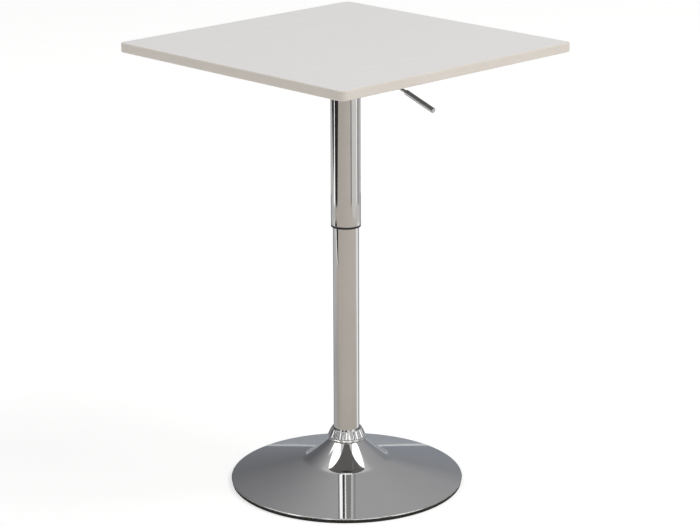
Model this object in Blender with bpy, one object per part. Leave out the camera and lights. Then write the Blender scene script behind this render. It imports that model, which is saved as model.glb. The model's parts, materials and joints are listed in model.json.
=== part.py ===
"""Height-adjustable square bistro table on a round trumpet base.

A gas lift stands in a chromed column: its pressure tube carries the table top and a wider
sleeve, and slides and turns on a piston rod that is clipped to a plate inside the column.
A lever under the top presses the valve pin. Metres, +Z up, the origin on the floor at the
centre of the base. The sides of the top lie along X and Y, and the lever points along -Y.
"""

import math

import bmesh
import bpy
from mathutils import Matrix, Vector

# Driving dimensions -------------------------------------------------------------------
GAP = 0.0003  # between pieces that touch

TABLE_HEIGHT = 0.880  # top surface above the floor, as modelled
LOWEST_HEIGHT = 0.838  # top surface with the lift right down
HIGHEST_HEIGHT = 1.028  # top surface with the lift right up

TOP_SIDE = 0.603
TOP_THICKNESS = 0.018
TOP_CORNER_RADIUS = 0.012
TOP_EDGE_RADIUS = 0.0025
EDGE_BAND = 0.003
LAMINATE = 0.0011
BACKER = 0.0007
PILOT_RADIUS = 0.0023
PILOT_DEPTH = 0.0135

BASE_RADIUS = 0.2286
BASE_RIM_HEIGHT = 0.009  # the widest line of the rim
BASE_RIM_BREAK = 0.0012
BASE_RIM_HEM = 0.006  # how far the rim reaches in
BASE_SHEET = 0.0015
BASE_OUTER_SLOPE = math.radians(14)
BASE_NECK_SLOPE = math.radians(36.8)
BASE_FILLET_START = 0.090  # radius where the outer cone ends
BASE_FILLET_RADIUS = 0.030
BASE_NECK_RADIUS_OF_CURVE = 0.500
BASE_NECK_RADIUS = 0.034

FLOOR_RING_HEIGHT = 0.0065
FLOOR_RING_INNER = 0.212
FLOOR_RING_OUTER = 0.2272
FLOOR_RING_CHAMFER = 0.0008

BALLAST_RADIUS = 0.165
BALLAST_THICKNESS = 0.010
BALLAST_LEDGE = 0.004  # left above the counterbore
COUNTERBORE_RADIUS = 0.021
COVER_THICKNESS = 0.0015
COVER_HOLE = 0.024

BOLT_HOLE = 0.0083
BOLT_SHANK_RADIUS = 0.0079
BOLT_HEAD_RADIUS = 0.0139
BOLT_HEAD_HEIGHT = 0.0062
BOLT_REACH = 0.018  # above the column's lower end
WASHER_RADIUS = 0.0190
WASHER_THICKNESS = 0.0015
FOOT_HEIGHT = 0.024
FOOT_BORE_DEPTH = 0.019

COLUMN_RADIUS = 0.0254
COLUMN_WALL = 0.0015
COLUMN_TOP = 0.735
SLEEVE_RADIUS = 0.029
SLEEVE_WALL = 0.0012
SLEEVE_BOTTOM = 0.5258
SLEEVE_RING_HEIGHT = 0.004
SLEEVE_RING_SPIGOT = 0.025
SLEEVE_RING_BREAK = 0.0004
SPACER_HEIGHT = 0.015
BUSH_LENGTH = 0.070
BUSH_FLANGE = 0.003

COLLAR_HEIGHT = 0.0223
COLLAR_BEAD = ((0.0345, 0.0), (0.0358, 0.0008), (0.0361, 0.0022), (0.0352, 0.0042))
COLLAR_FLUTED = ((0.0350, 0.0049), (0.0368, 0.0066), (0.0352, 0.0110), (0.0333, 0.0152))
COLLAR_SHOULDER = ((0.0315, 0.0190), (0.0292, COLLAR_HEIGHT))
COLLAR_FLUTES = 34
FLUTE_DEPTH = 0.0010
FLUTE_BOTTOM = 0.0060  # above the collar's underside
FLUTE_TOP = 0.0212

ROD_RADIUS = 0.005
ROD_NECK_RADIUS = 0.0035  # under the piston and its nut
ROD_FOOT = 0.004  # below the clip's groove
ROD_FOOT_BREAK = 0.0005
CLIP_GROOVE = 0.0018
CLIP_GROOVE_RADIUS = 0.0038
CLIP_BORE = 0.0041
CLIP_RADIUS = 0.0095
CLIP_DROP = 0.0024  # from the seat plate down to the groove
PISTON_HEIGHT = 0.012
PISTON_GROOVE_DEPTH = 0.001
PISTON_CLEARANCE = 0.030  # above the gland at full height
PISTON_NUT_RADIUS = 0.0065
PISTON_NUT_HEIGHT = 0.005
ROD_END = 0.001  # above the nut
TUBE_RADIUS = 0.014
TUBE_WALL = 0.0015
TAPER_TOP_RADIUS = 0.0128
GLAND_HEIGHT = 0.020
GLAND_INSET = 0.002
VALVE_BORE = 0.0108
VALVE_INSET = 0.004
VALVE_SINK = 0.001  # below the tube's end
PIN_BORE_DEPTH = 0.025
PIN_FOOT = 0.006
PIN_BREAK = 0.0008
SEAT_PLATE_HEIGHT = 0.060  # underside of the plate that carries the rod
SEAT_PLATE_THICKNESS = 0.004
BEARING_RADIUS = 0.0125
BALLS = 8
CAGE_RECESS = 0.0008  # how far the balls stand out of their cage
BUMPER_RADIUS = 0.0120

PAN_RADIUS = 0.055
PAN_DEPTH = 0.040
PAN_BEND = 0.004
PAN_INNER_BEND = 0.003
PLATE_SIDE = 0.190
PLATE_SHEET = 0.0025
PLATE_CORNER = 0.015
PLATE_HOLE = 0.0025
HUB_RADIUS = 0.0175
HUB_FLANGE_RADIUS = 0.0240
HUB_FLANGE = 0.003
HUB_DROP = 0.024  # below the pan
SCREW_SPACING = 0.150
SCREW_SHANK = 0.0020
SCREW_HEAD_RADIUS = 0.0045
SCREW_HEAD_HEIGHT = 0.0028
SCREW_DEPTH = 0.0115  # into the board
SCREW_POINT = 0.0025

LEVER_SLOPE = math.radians(13.0)
GRIP_SLOPE = math.radians(18.7)
LEVER_BEND_Y = -0.150  # where the rod bends down to the grip's slope
LEVER_ROD_RADIUS = 0.003
LEVER_GRIP_RADIUS = 0.005
LEVER_GRIP_BREAK = 0.0006
LEVER_PIVOT_Y = -0.042
LEVER_GRIP_START_Y = -0.160
LEVER_ROD_END_Y = -0.210
LEVER_TIP_Y = -0.230
LEVER_INNER_Y = 0.006
BARREL_RADIUS = 0.0048
BARREL_HALF_LENGTH = 0.0042
LEVER_PIN_RADIUS = 0.0018
LEVER_PIN_HALF_LENGTH = 0.0085
EAR_INSIDE = 0.0046
EAR_OUTSIDE = 0.0066
EAR_FRONT = 0.0055  # reach in front of the pin
EAR_BACK = 0.0075
EAR_TOP = 0.0050
BRACKET_SHEET = 0.0015
SLOT_HALF_WIDTH = 0.006
SLOT_BELOW = 0.0085  # reach below the pin
SLOT_ABOVE = 0.0065

RIM_ROUND = 56  # facets round the base
ROUND = 36
PAN_ROUND = 28
SMALL_ROUND = 20
TINY_ROUND = 16
FILLET_STEPS = 4
NECK_STEPS = 3
OVERCUT = 0.010  # how far a cutter passes through what it cuts
SMOOTH_ANGLE = math.radians(35)

# Derived heights, from the floor up ---------------------------------------------------
UNDERSIDE = TABLE_HEIGHT - TOP_THICKNESS
PLATE_TOP = UNDERSIDE - GAP
PLATE_BOTTOM = PLATE_TOP - PLATE_SHEET
PAN_FLOOR_BOTTOM = PLATE_BOTTOM - PAN_DEPTH
PAN_FLOOR_TOP = PAN_FLOOR_BOTTOM + PLATE_SHEET
LEVER_DROP = 0.0145
LEVER_AXIS_HEIGHT = UNDERSIDE - LEVER_DROP  # where the lever's line crosses the column's axis
LEVER_PIVOT_Z = LEVER_AXIS_HEIGHT + LEVER_PIVOT_Y * math.tan(LEVER_SLOPE)
PIN_RADIUS = 0.004
PIN_CLEARANCE = GAP + PIN_RADIUS * math.tan(LEVER_SLOPE)
PIN_TOP = LEVER_AXIS_HEIGHT - LEVER_ROD_RADIUS / math.cos(LEVER_SLOPE) - PIN_CLEARANCE
PIN_STANDS_OUT = 0.0075
TUBE_STANDS_OUT = 0.0025
TUBE_TOP = PIN_TOP - PIN_STANDS_OUT
HUB_TOP = TUBE_TOP - TUBE_STANDS_OUT
HUB_BOTTOM = PAN_FLOOR_BOTTOM - HUB_DROP
BALLAST_BOTTOM = FLOOR_RING_HEIGHT
BALLAST_TOP = BALLAST_BOTTOM + BALLAST_THICKNESS
COLUMN_BOTTOM = BALLAST_TOP + GAP
COLUMN_BORE = COLUMN_RADIUS - COLUMN_WALL
SEAT_PLATE_TOP = SEAT_PLATE_HEIGHT + SEAT_PLATE_THICKNESS
BEARING_BOTTOM = SEAT_PLATE_TOP + GAP
RACE = 0.002
CAGE = 0.003
BUMPER = 0.018
BUMPER_BOTTOM = BEARING_BOTTOM + 2 * RACE + CAGE + 3 * GAP
TUBE_BOTTOM = BUMPER_BOTTOM + BUMPER + GAP + (TABLE_HEIGHT - LOWEST_HEIGHT)
TUBE_BORE = TUBE_RADIUS - TUBE_WALL
PISTON_BOTTOM = TUBE_BOTTOM + (HIGHEST_HEIGHT - TABLE_HEIGHT) + PISTON_CLEARANCE
PISTON_TOP = PISTON_BOTTOM + PISTON_HEIGHT
PISTON_NUT_TOP = PISTON_TOP + GAP + PISTON_NUT_HEIGHT
VALVE_TOP = TUBE_TOP - VALVE_SINK
PIN_BORE_BOTTOM = VALVE_TOP - PIN_BORE_DEPTH


# Materials ----------------------------------------------------------------------------
def make_material(name, colour, roughness, metallic):
    """A Principled material."""
    material = bpy.data.materials.new(name)
    material.use_nodes = True
    shader = material.node_tree.nodes["Principled BSDF"]
    shader.inputs["Base Color"].default_value = (*colour, 1.0)
    shader.inputs["Roughness"].default_value = roughness
    shader.inputs["Metallic"].default_value = metallic
    material.diffuse_color = (*colour, 1.0)
    return material


def make_materials():
    """Every material of the table, by the name of its slot."""
    return {
        "chrome": make_material("chrome", (0.66, 0.64, 0.62), 0.06, 1.0),
        "laminate": make_material("laminate", (0.70, 0.69, 0.68), 0.45, 0.0),
        "edging": make_material("edging", (0.60, 0.57, 0.54), 0.45, 0.0),
        "board": make_material("board", (0.42, 0.31, 0.20), 0.85, 0.0),
        "backer": make_material("backer", (0.15, 0.14, 0.13), 0.60, 0.0),
        "black_plastic": make_material("black_plastic", (0.012, 0.012, 0.013), 0.40, 0.0),
        "rubber": make_material("rubber", (0.010, 0.010, 0.010), 0.75, 0.0),
        "black_steel": make_material("black_steel", (0.018, 0.018, 0.019), 0.45, 0.6),
        "steel": make_material("steel", (0.50, 0.50, 0.50), 0.30, 1.0),
        "iron": make_material("iron", (0.09, 0.09, 0.09), 0.70, 0.8),
    }


# Mesh helpers -------------------------------------------------------------------------
def add_object(name, mesh, material, origin=(0.0, 0.0, 0.0), parent=None):
    """Link a mesh as an object whose origin is at a place in the world."""
    mesh.transform(Matrix.Translation(-Vector(origin)))
    mesh.materials.append(material)
    mesh.shade_smooth()
    mesh.set_sharp_from_angle(angle=SMOOTH_ANGLE)
    item = bpy.data.objects.new(name, mesh)
    bpy.context.scene.collection.objects.link(item)
    item.location = origin
    if parent:
        item.location = Vector(origin) - parent.location
        item.parent = parent
    return item


def finish_mesh(name, shape):
    """Turn a bmesh into a mesh with its faces pointing out."""
    bmesh.ops.recalc_face_normals(shape, faces=shape.faces)
    mesh = bpy.data.meshes.new(name)
    shape.to_mesh(mesh)
    shape.free()
    return mesh


def turned(name, outline, steps=ROUND):
    """Spin a closed outline of (radius, height) points about Z."""
    shape = bmesh.new()
    points = [shape.verts.new((radius, 0.0, height)) for radius, height in outline]
    ring = zip(points, points[1:] + points[:1])
    on_axis = 1e-7
    edges = [
        shape.edges.new(pair) for pair in ring if max(abs(point.co.x) for point in pair) > on_axis
    ]
    bmesh.ops.spin(
        shape,
        geom=points + edges,
        cent=(0.0, 0.0, 0.0),
        axis=(0.0, 0.0, 1.0),
        angle=math.tau,
        steps=steps,
        use_merge=True,
    )
    bmesh.ops.remove_doubles(shape, verts=shape.verts, dist=1e-6)
    return finish_mesh(name, shape)


def ring_outline(inner, outer, bottom, top):
    """The outline of a plain ring or tube."""
    return [(inner, bottom), (outer, bottom), (outer, top), (inner, top)]


def block(name, low, high):
    """A box between two corners."""
    shape = bmesh.new()
    size = Vector(high) - Vector(low)
    centre = (Vector(high) + Vector(low)) / 2
    matrix = Matrix.Translation(centre) @ Matrix.Diagonal((*size, 1.0))
    bmesh.ops.create_cube(shape, size=1.0, matrix=matrix)
    return finish_mesh(name, shape)


def rod_along(name, start, end, radius, steps=SMALL_ROUND):
    """A cylinder between two points."""
    shape = bmesh.new()
    axis = Vector(end) - Vector(start)
    turn = axis.to_track_quat("Z", "Y").to_matrix().to_4x4()
    matrix = Matrix.Translation((Vector(start) + Vector(end)) / 2) @ turn
    bmesh.ops.create_cone(
        shape,
        cap_ends=True,
        segments=steps,
        radius1=radius,
        radius2=radius,
        depth=axis.length,
        matrix=matrix,
    )
    return finish_mesh(name, shape)


def rounded_square(half, radius, steps=6):
    """Points round a square with rounded corners, anticlockwise."""
    points = []
    for corner in range(4):
        turn = corner * math.pi / 2
        middle = math.sqrt(2) * (half - radius)
        centre = Vector((math.cos(turn + math.pi / 4), math.sin(turn + math.pi / 4))) * middle
        for step in range(steps + 1):
            angle = turn + step / steps * math.pi / 2
            points.append(centre + Vector((math.cos(angle), math.sin(angle))) * radius)
    return points


def prism(name, points, bottom, top):
    """A flat plate with the given outline."""
    shape = bmesh.new()
    face = shape.faces.new([shape.verts.new((point[0], point[1], bottom)) for point in points])
    grown = bmesh.ops.extrude_face_region(shape, geom=[face])
    risen = [item for item in grown["geom"] if isinstance(item, bmesh.types.BMVert)]
    bmesh.ops.translate(shape, vec=(0.0, 0.0, top - bottom), verts=risen)
    return finish_mesh(name, shape)


def boolean(item, other, operation):
    """Cut or join with another object, which is then only a guide."""
    modifier = item.modifiers.new(operation.lower(), "BOOLEAN")
    modifier.object = other
    modifier.operation = operation
    modifier.solver = "EXACT"
    other.hide_render = True
    other.display_type = "WIRE"


def arc(centre, radius, start, end, steps):
    """Points on an arc, start and end included."""
    return [
        (
            centre[0] + radius * math.cos(start + (end - start) * step / steps),
            centre[1] + radius * math.sin(start + (end - start) * step / steps),
        )
        for step in range(steps + 1)
    ]


# Base ---------------------------------------------------------------------------------
def dish_profile():
    """The outer line of the base from the rim up to its neck, as (radius, height)."""
    slope = BASE_OUTER_SLOPE
    cone_rise = (BASE_RADIUS - BASE_FILLET_START) * math.tan(slope)
    points = [(BASE_RADIUS, BASE_RIM_HEIGHT), (BASE_FILLET_START, BASE_RIM_HEIGHT + cone_rise)]
    neck_end = math.asin(
        math.sin(BASE_NECK_SLOPE)
        + (
            BASE_FILLET_START
            - BASE_FILLET_RADIUS * (math.sin(BASE_NECK_SLOPE) - math.sin(slope))
            - BASE_NECK_RADIUS
        )
        / BASE_NECK_RADIUS_OF_CURVE
    )
    curves = (
        (BASE_FILLET_RADIUS, slope, BASE_NECK_SLOPE, FILLET_STEPS),
        (BASE_NECK_RADIUS_OF_CURVE, BASE_NECK_SLOPE, neck_end, NECK_STEPS),
    )
    for radius, start, end, steps in curves:
        from_radius, from_height = points[-1]
        for step in range(1, steps + 1):
            angle = start + (end - start) * step / steps
            points.append(
                (
                    from_radius - radius * (math.sin(angle) - math.sin(start)),
                    from_height + radius * (math.cos(start) - math.cos(angle)),
                )
            )
    return points


def add_base_dish(materials):
    """The pressed trumpet shell: a rolled rim, a shallow cone, a neck and an inner lip."""
    outer = dish_profile()
    neck_radius, neck_height = outer[-1]
    lip_radius = COLUMN_RADIUS + 2 * GAP
    inner = [(radius - BASE_SHEET / 2, height - BASE_SHEET) for radius, height in outer[1:-1:2]]
    rim_inner = BASE_RADIUS - BASE_RIM_HEM
    rim_bottom = FLOOR_RING_HEIGHT + GAP
    outline = [
        (BASE_RADIUS - BASE_RIM_BREAK, rim_bottom),
        (BASE_RADIUS, rim_bottom + BASE_RIM_BREAK),
        *outer,
        (lip_radius, neck_height),
        (lip_radius, neck_height - BASE_SHEET),
        (neck_radius - BASE_SHEET, neck_height - BASE_SHEET),
        *reversed(inner),
        (rim_inner, BASE_RIM_HEIGHT - GAP),
        (rim_inner, rim_bottom),
    ]
    add_object("base_dish", turned("base_dish", outline, RIM_ROUND), materials["chrome"])
    return neck_height


def add_base_collar(materials, seat):
    """The fluted ring that hides the joint of the column and the neck."""
    bottom = seat + GAP
    bore = COLUMN_RADIUS + GAP
    outside = [*COLLAR_BEAD, *COLLAR_FLUTED, *COLLAR_SHOULDER]
    outline = [(bore, 0.0), *outside, (bore, COLLAR_HEIGHT)]
    steps = 2 * COLLAR_FLUTES
    mesh = turned("base_collar", [(r, bottom + z) for r, z in outline], steps)
    for vertex in mesh.vertices:
        place = vertex.co
        turn = math.atan2(place.y, place.x) / (math.tau / COLLAR_FLUTES)
        between_ribs = abs(turn - round(turn)) > 1 / 4
        if FLUTE_BOTTOM < place.z - bottom < FLUTE_TOP and between_ribs:
            scale = 1 - FLUTE_DEPTH / math.hypot(place.x, place.y)
            place.x *= scale
            place.y *= scale
    add_object("base_collar", mesh, materials["chrome"])


def add_floor_ring(materials):
    """The rubber ring the table stands on."""
    outline = [
        (FLOOR_RING_INNER, 0.0),
        (FLOOR_RING_OUTER - FLOOR_RING_CHAMFER, 0.0),
        (FLOOR_RING_OUTER, FLOOR_RING_CHAMFER),
        (FLOOR_RING_OUTER, FLOOR_RING_HEIGHT),
        (FLOOR_RING_INNER, FLOOR_RING_HEIGHT),
    ]
    add_object("floor_ring", turned("floor_ring", outline, RIM_ROUND), materials["rubber"])


def add_ballast(materials):
    """The iron weight, bored for the bolt and counterbored from below for its head."""
    counterbore_top = BALLAST_TOP - BALLAST_LEDGE
    outline = [
        (COUNTERBORE_RADIUS, BALLAST_BOTTOM),
        (BALLAST_RADIUS, BALLAST_BOTTOM),
        (BALLAST_RADIUS, BALLAST_TOP),
        (BOLT_HOLE, BALLAST_TOP),
        (BOLT_HOLE, counterbore_top),
        (COUNTERBORE_RADIUS, counterbore_top),
    ]
    add_object("ballast_disc", turned("ballast_disc", outline), materials["iron"])
    return counterbore_top


def add_bottom_cover(materials):
    """The thin sheet that closes the base, open in the middle for the bolt."""
    top = BALLAST_BOTTOM - GAP
    outline = ring_outline(COVER_HOLE, FLOOR_RING_INNER - GAP, top - COVER_THICKNESS, top)
    add_object("bottom_cover", turned("bottom_cover", outline, RIM_ROUND), materials["black_steel"])


def add_base_bolt(materials, seat):
    """The bolt and washer that pull the column down on the ballast."""
    washer_top = seat - GAP
    washer_bottom = washer_top - WASHER_THICKNESS
    washer_outline = ring_outline(BOLT_HOLE, WASHER_RADIUS, washer_bottom, washer_top)
    washer = turned("base_washer", washer_outline, SMALL_ROUND)
    add_object("base_washer", washer, materials["steel"])
    head_top = washer_bottom - GAP
    head_bottom = head_top - BOLT_HEAD_HEIGHT
    head_outline = [
        (0.0, head_bottom),
        (BOLT_HEAD_RADIUS, head_bottom),
        (BOLT_HEAD_RADIUS, head_top),
        (0.0, head_top),
    ]
    bolt = add_object("base_bolt", turned("base_bolt", head_outline, 6), materials["steel"])
    shank_low = (0, 0, head_top - BOLT_HEAD_HEIGHT / 3)
    shank_high = (0, 0, COLUMN_BOTTOM + BOLT_REACH)
    shank_mesh = rod_along("base_bolt_shank", shank_low, shank_high, BOLT_SHANK_RADIUS)
    boolean(bolt, add_object("base_bolt_shank", shank_mesh, materials["steel"]), "UNION")


# Column -------------------------------------------------------------------------------
def add_column(materials):
    """The chromed column tube."""
    outline = ring_outline(COLUMN_BORE, COLUMN_RADIUS, COLUMN_BOTTOM, COLUMN_TOP)
    add_object("column_tube", turned("column_tube", outline), materials["chrome"])


def add_column_foot(materials):
    """The plug in the column's lower end, tapped for the base bolt."""
    radius = COLUMN_BORE - GAP
    bore_top = COLUMN_BOTTOM + FOOT_BORE_DEPTH
    top = COLUMN_BOTTOM + FOOT_HEIGHT
    outline = [
        (BOLT_HOLE, COLUMN_BOTTOM),
        (radius, COLUMN_BOTTOM),
        (radius, top),
        (0.0, top),
        (0.0, bore_top),
        (BOLT_HOLE, bore_top),
    ]
    add_object("column_foot", turned("column_foot", outline), materials["steel"])


def add_seat_plate(materials):
    """The plate inside the column that carries the piston rod."""
    outline = ring_outline(ROD_RADIUS + GAP, COLUMN_BORE - GAP, SEAT_PLATE_HEIGHT, SEAT_PLATE_TOP)
    add_object("rod_seat_plate", turned("rod_seat_plate", outline), materials["steel"])


def add_guide_bush(materials):
    """The flanged plastic bush in the column's mouth, which guides the pressure tube."""
    bore = TUBE_RADIUS + GAP
    body = COLUMN_BORE - GAP
    flange_bottom = COLUMN_TOP + GAP
    outline = [
        (bore, COLUMN_TOP - BUSH_LENGTH),
        (body, COLUMN_TOP - BUSH_LENGTH),
        (body, flange_bottom),
        (COLUMN_RADIUS, flange_bottom),
        (COLUMN_RADIUS, flange_bottom + BUSH_FLANGE),
        (bore, flange_bottom + BUSH_FLANGE),
    ]
    add_object("guide_bush", turned("guide_bush", outline), materials["black_plastic"])


# Swivel bearing and piston rod ---------------------------------------------------------
def add_bearing(materials, turntable):
    """Two races with a cage of balls between them."""
    bore = ROD_RADIUS + 2 * GAP
    lower = ring_outline(bore, BEARING_RADIUS, BEARING_BOTTOM, BEARING_BOTTOM + RACE)
    add_object("lower_race", turned("lower_race", lower, SMALL_ROUND), materials["steel"])
    balls_bottom = BEARING_BOTTOM + RACE + GAP
    cage_low = balls_bottom + CAGE_RECESS
    cage_high = balls_bottom + CAGE - CAGE_RECESS
    cage_outline = ring_outline(bore, BEARING_RADIUS, cage_low, cage_high)
    cage_mesh = turned("ball_cage", cage_outline, SMALL_ROUND)
    cage = add_object("ball_cage", cage_mesh, materials["steel"], parent=turntable)
    ball_circle = (bore + BEARING_RADIUS) / 2
    middle = balls_bottom + CAGE / 2
    for number in range(BALLS):
        angle = math.tau * number / BALLS
        centre = (ball_circle * math.cos(angle), ball_circle * math.sin(angle), middle)
        shape = bmesh.new()
        bmesh.ops.create_uvsphere(shape, u_segments=6, v_segments=4, radius=CAGE / 2)
        bmesh.ops.translate(shape, vec=centre, verts=shape.verts)
        ball_mesh = finish_mesh(f"ball_{number + 1}", shape)
        ball = add_object(f"ball_{number + 1}", ball_mesh, materials["steel"])
        boolean(cage, ball, "UNION")
    upper_bottom = balls_bottom + CAGE + GAP
    upper = ring_outline(bore, BEARING_RADIUS, upper_bottom, upper_bottom + RACE)
    upper_mesh = turned("upper_race", upper, SMALL_ROUND)
    add_object("upper_race", upper_mesh, materials["steel"], parent=turntable)


def add_bumper(materials, turntable):
    """The rubber bumper that the pressure tube meets at its lowest."""
    outline = ring_outline(ROD_RADIUS + GAP, BUMPER_RADIUS, BUMPER_BOTTOM, BUMPER_BOTTOM + BUMPER)
    mesh = turned("rod_bumper", outline, SMALL_ROUND)
    add_object("rod_bumper", mesh, materials["rubber"], parent=turntable)


def add_piston_rod(materials, turntable):
    """The rod, necked for its clip and its piston."""
    groove_bottom = SEAT_PLATE_HEIGHT - CLIP_DROP
    groove_top = groove_bottom + CLIP_GROOVE
    foot = groove_bottom - ROD_FOOT
    shoulder = PISTON_BOTTOM - GAP
    top = PISTON_NUT_TOP + ROD_END
    outline = [
        (0.0, foot),
        (ROD_RADIUS - ROD_FOOT_BREAK, foot),
        (ROD_RADIUS, foot + ROD_FOOT_BREAK),
        (ROD_RADIUS, groove_bottom),
        (CLIP_GROOVE_RADIUS, groove_bottom),
        (CLIP_GROOVE_RADIUS, groove_top),
        (ROD_RADIUS, groove_top),
        (ROD_RADIUS, shoulder),
        (ROD_NECK_RADIUS, shoulder),
        (ROD_NECK_RADIUS, top),
        (0.0, top),
    ]
    rod = turned("piston_rod", outline, SMALL_ROUND)
    add_object("piston_rod", rod, materials["steel"], parent=turntable)
    clip = ring_outline(CLIP_BORE, CLIP_RADIUS, groove_bottom + GAP, groove_top - GAP)
    clip_mesh = turned("rod_clip", clip, SMALL_ROUND)
    add_object("rod_clip", clip_mesh, materials["steel"], parent=turntable)


def add_piston(materials, turntable):
    """The piston with its groove, and the nut that holds it on the rod."""
    bore = ROD_NECK_RADIUS + GAP
    body = TUBE_BORE - GAP
    slope = PISTON_GROOVE_DEPTH
    groove_bottom = PISTON_BOTTOM + PISTON_HEIGHT / 3
    groove_top = PISTON_BOTTOM + PISTON_HEIGHT * 2 / 3
    outline = [
        (bore, PISTON_BOTTOM),
        (body, PISTON_BOTTOM),
        (body, groove_bottom),
        (body - PISTON_GROOVE_DEPTH, groove_bottom + slope),
        (body - PISTON_GROOVE_DEPTH, groove_top - slope),
        (body, groove_top),
        (body, PISTON_TOP),
        (bore, PISTON_TOP),
    ]
    piston = turned("piston", outline, SMALL_ROUND)
    add_object("piston", piston, materials["steel"], parent=turntable)
    nut = ring_outline(bore, PISTON_NUT_RADIUS, PISTON_TOP + GAP, PISTON_NUT_TOP)
    nut_mesh = turned("piston_nut", nut, SMALL_ROUND)
    add_object("piston_nut", nut_mesh, materials["steel"], parent=turntable)


# Pressure tube and valve --------------------------------------------------------------
def add_pressure_tube(materials, lift):
    """The tube with its tapered upper end, narrowed inside to hold the valve."""
    outline = [
        (TUBE_BORE, TUBE_BOTTOM),
        (TUBE_RADIUS, TUBE_BOTTOM),
        (TUBE_RADIUS, HUB_BOTTOM),
        (TAPER_TOP_RADIUS, TUBE_TOP),
        (VALVE_BORE, TUBE_TOP),
        (VALVE_BORE, HUB_BOTTOM),
        (TUBE_BORE, HUB_BOTTOM - VALVE_INSET),
    ]
    tube = turned("pressure_tube", outline, ROUND)
    add_object("pressure_tube", tube, materials["steel"], parent=lift)
    gland_bottom = TUBE_BOTTOM + GLAND_INSET
    gland_top = gland_bottom + GLAND_HEIGHT
    gland = ring_outline(ROD_RADIUS + GAP, TUBE_BORE - GAP, gland_bottom, gland_top)
    gland_mesh = turned("rod_gland", gland, SMALL_ROUND)
    add_object("rod_gland", gland_mesh, materials["black_plastic"], parent=lift)


def add_valve_body(materials, lift):
    """The valve in the tube's end, bored for its pin."""
    body = VALVE_BORE - GAP
    bottom = HUB_BOTTOM + VALVE_INSET
    pin_bore = PIN_RADIUS + GAP
    outline = [
        (0.0, bottom),
        (body, bottom),
        (body, VALVE_TOP),
        (pin_bore, VALVE_TOP),
        (pin_bore, PIN_BORE_BOTTOM),
        (0.0, PIN_BORE_BOTTOM),
    ]
    valve = turned("valve_body", outline, SMALL_ROUND)
    add_object("valve_body", valve, materials["steel"], parent=lift)


def add_release_button(materials, button):
    """The valve pin, which stands out of the tube's end."""
    bottom = PIN_BORE_BOTTOM + PIN_FOOT
    outline = [
        (0.0, bottom),
        (PIN_RADIUS, bottom),
        (PIN_RADIUS, PIN_TOP - PIN_BREAK),
        (PIN_RADIUS - PIN_BREAK, PIN_TOP),
        (0.0, PIN_TOP),
    ]
    pin = turned("release_button", outline, TINY_ROUND)
    place = button.location
    add_object("release_button", pin, materials["steel"], origin=place, parent=button)


# Mechanism plate ----------------------------------------------------------------------
def screw_places():
    """The four screws of the mechanism plate."""
    half = SCREW_SPACING / 2
    return [(half, half), (-half, half), (-half, -half), (half, -half)]


def add_mechanism_plate(materials, lift):
    """A square flange with a round pan pressed down in its middle."""
    square = rounded_square(PLATE_SIDE / 2, PLATE_CORNER, 3)
    flange = prism("mechanism_plate", square, PLATE_BOTTOM, PLATE_TOP)
    plate = add_object("mechanism_plate", flange, materials["black_steel"], parent=lift)
    pan_top = PLATE_TOP - PLATE_SHEET / 3
    pan_outline = [
        (0.0, PAN_FLOOR_BOTTOM),
        (PAN_RADIUS - PAN_BEND, PAN_FLOOR_BOTTOM),
        (PAN_RADIUS, PAN_FLOOR_BOTTOM + PAN_BEND),
        (PAN_RADIUS, pan_top),
        (0.0, pan_top),
    ]
    pan = turned("pan_outside", pan_outline, PAN_ROUND)
    boolean(plate, add_object("pan_outside", pan, materials["black_steel"]), "UNION")
    hollow_radius = PAN_RADIUS - PLATE_SHEET
    hollow_outline = [
        (0.0, PAN_FLOOR_TOP),
        (hollow_radius - PAN_INNER_BEND, PAN_FLOOR_TOP),
        (hollow_radius, PAN_FLOOR_TOP + PAN_INNER_BEND),
        (hollow_radius, PLATE_TOP + OVERCUT),
        (0.0, PLATE_TOP + OVERCUT),
    ]
    hollow = turned("pan_hollow", hollow_outline, PAN_ROUND)
    boolean(plate, add_object("pan_hollow", hollow, materials["steel"]), "DIFFERENCE")
    low = (0, 0, PAN_FLOOR_BOTTOM - OVERCUT)
    high = (0, 0, PAN_FLOOR_TOP + OVERCUT)
    hub_hole = rod_along("hub_hole", low, high, HUB_RADIUS + GAP, ROUND)
    boolean(plate, add_object("hub_hole", hub_hole, materials["steel"]), "DIFFERENCE")
    slot_low = (-SLOT_HALF_WIDTH, -PAN_RADIUS - OVERCUT, LEVER_PIVOT_Z - SLOT_BELOW)
    slot_high = (SLOT_HALF_WIDTH, -PAN_RADIUS + OVERCUT, LEVER_PIVOT_Z + SLOT_ABOVE)
    slot = add_object("lever_slot", block("lever_slot", slot_low, slot_high), materials["steel"])
    boolean(plate, slot, "DIFFERENCE")
    for number, (x, y) in enumerate(screw_places(), 1):
        name = f"plate_hole_{number}"
        low = (x, y, PLATE_BOTTOM - OVERCUT)
        high = (x, y, PLATE_TOP + OVERCUT)
        hole = rod_along(name, low, high, PLATE_HOLE, TINY_ROUND)
        boolean(plate, add_object(name, hole, materials["steel"]), "DIFFERENCE")


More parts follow.
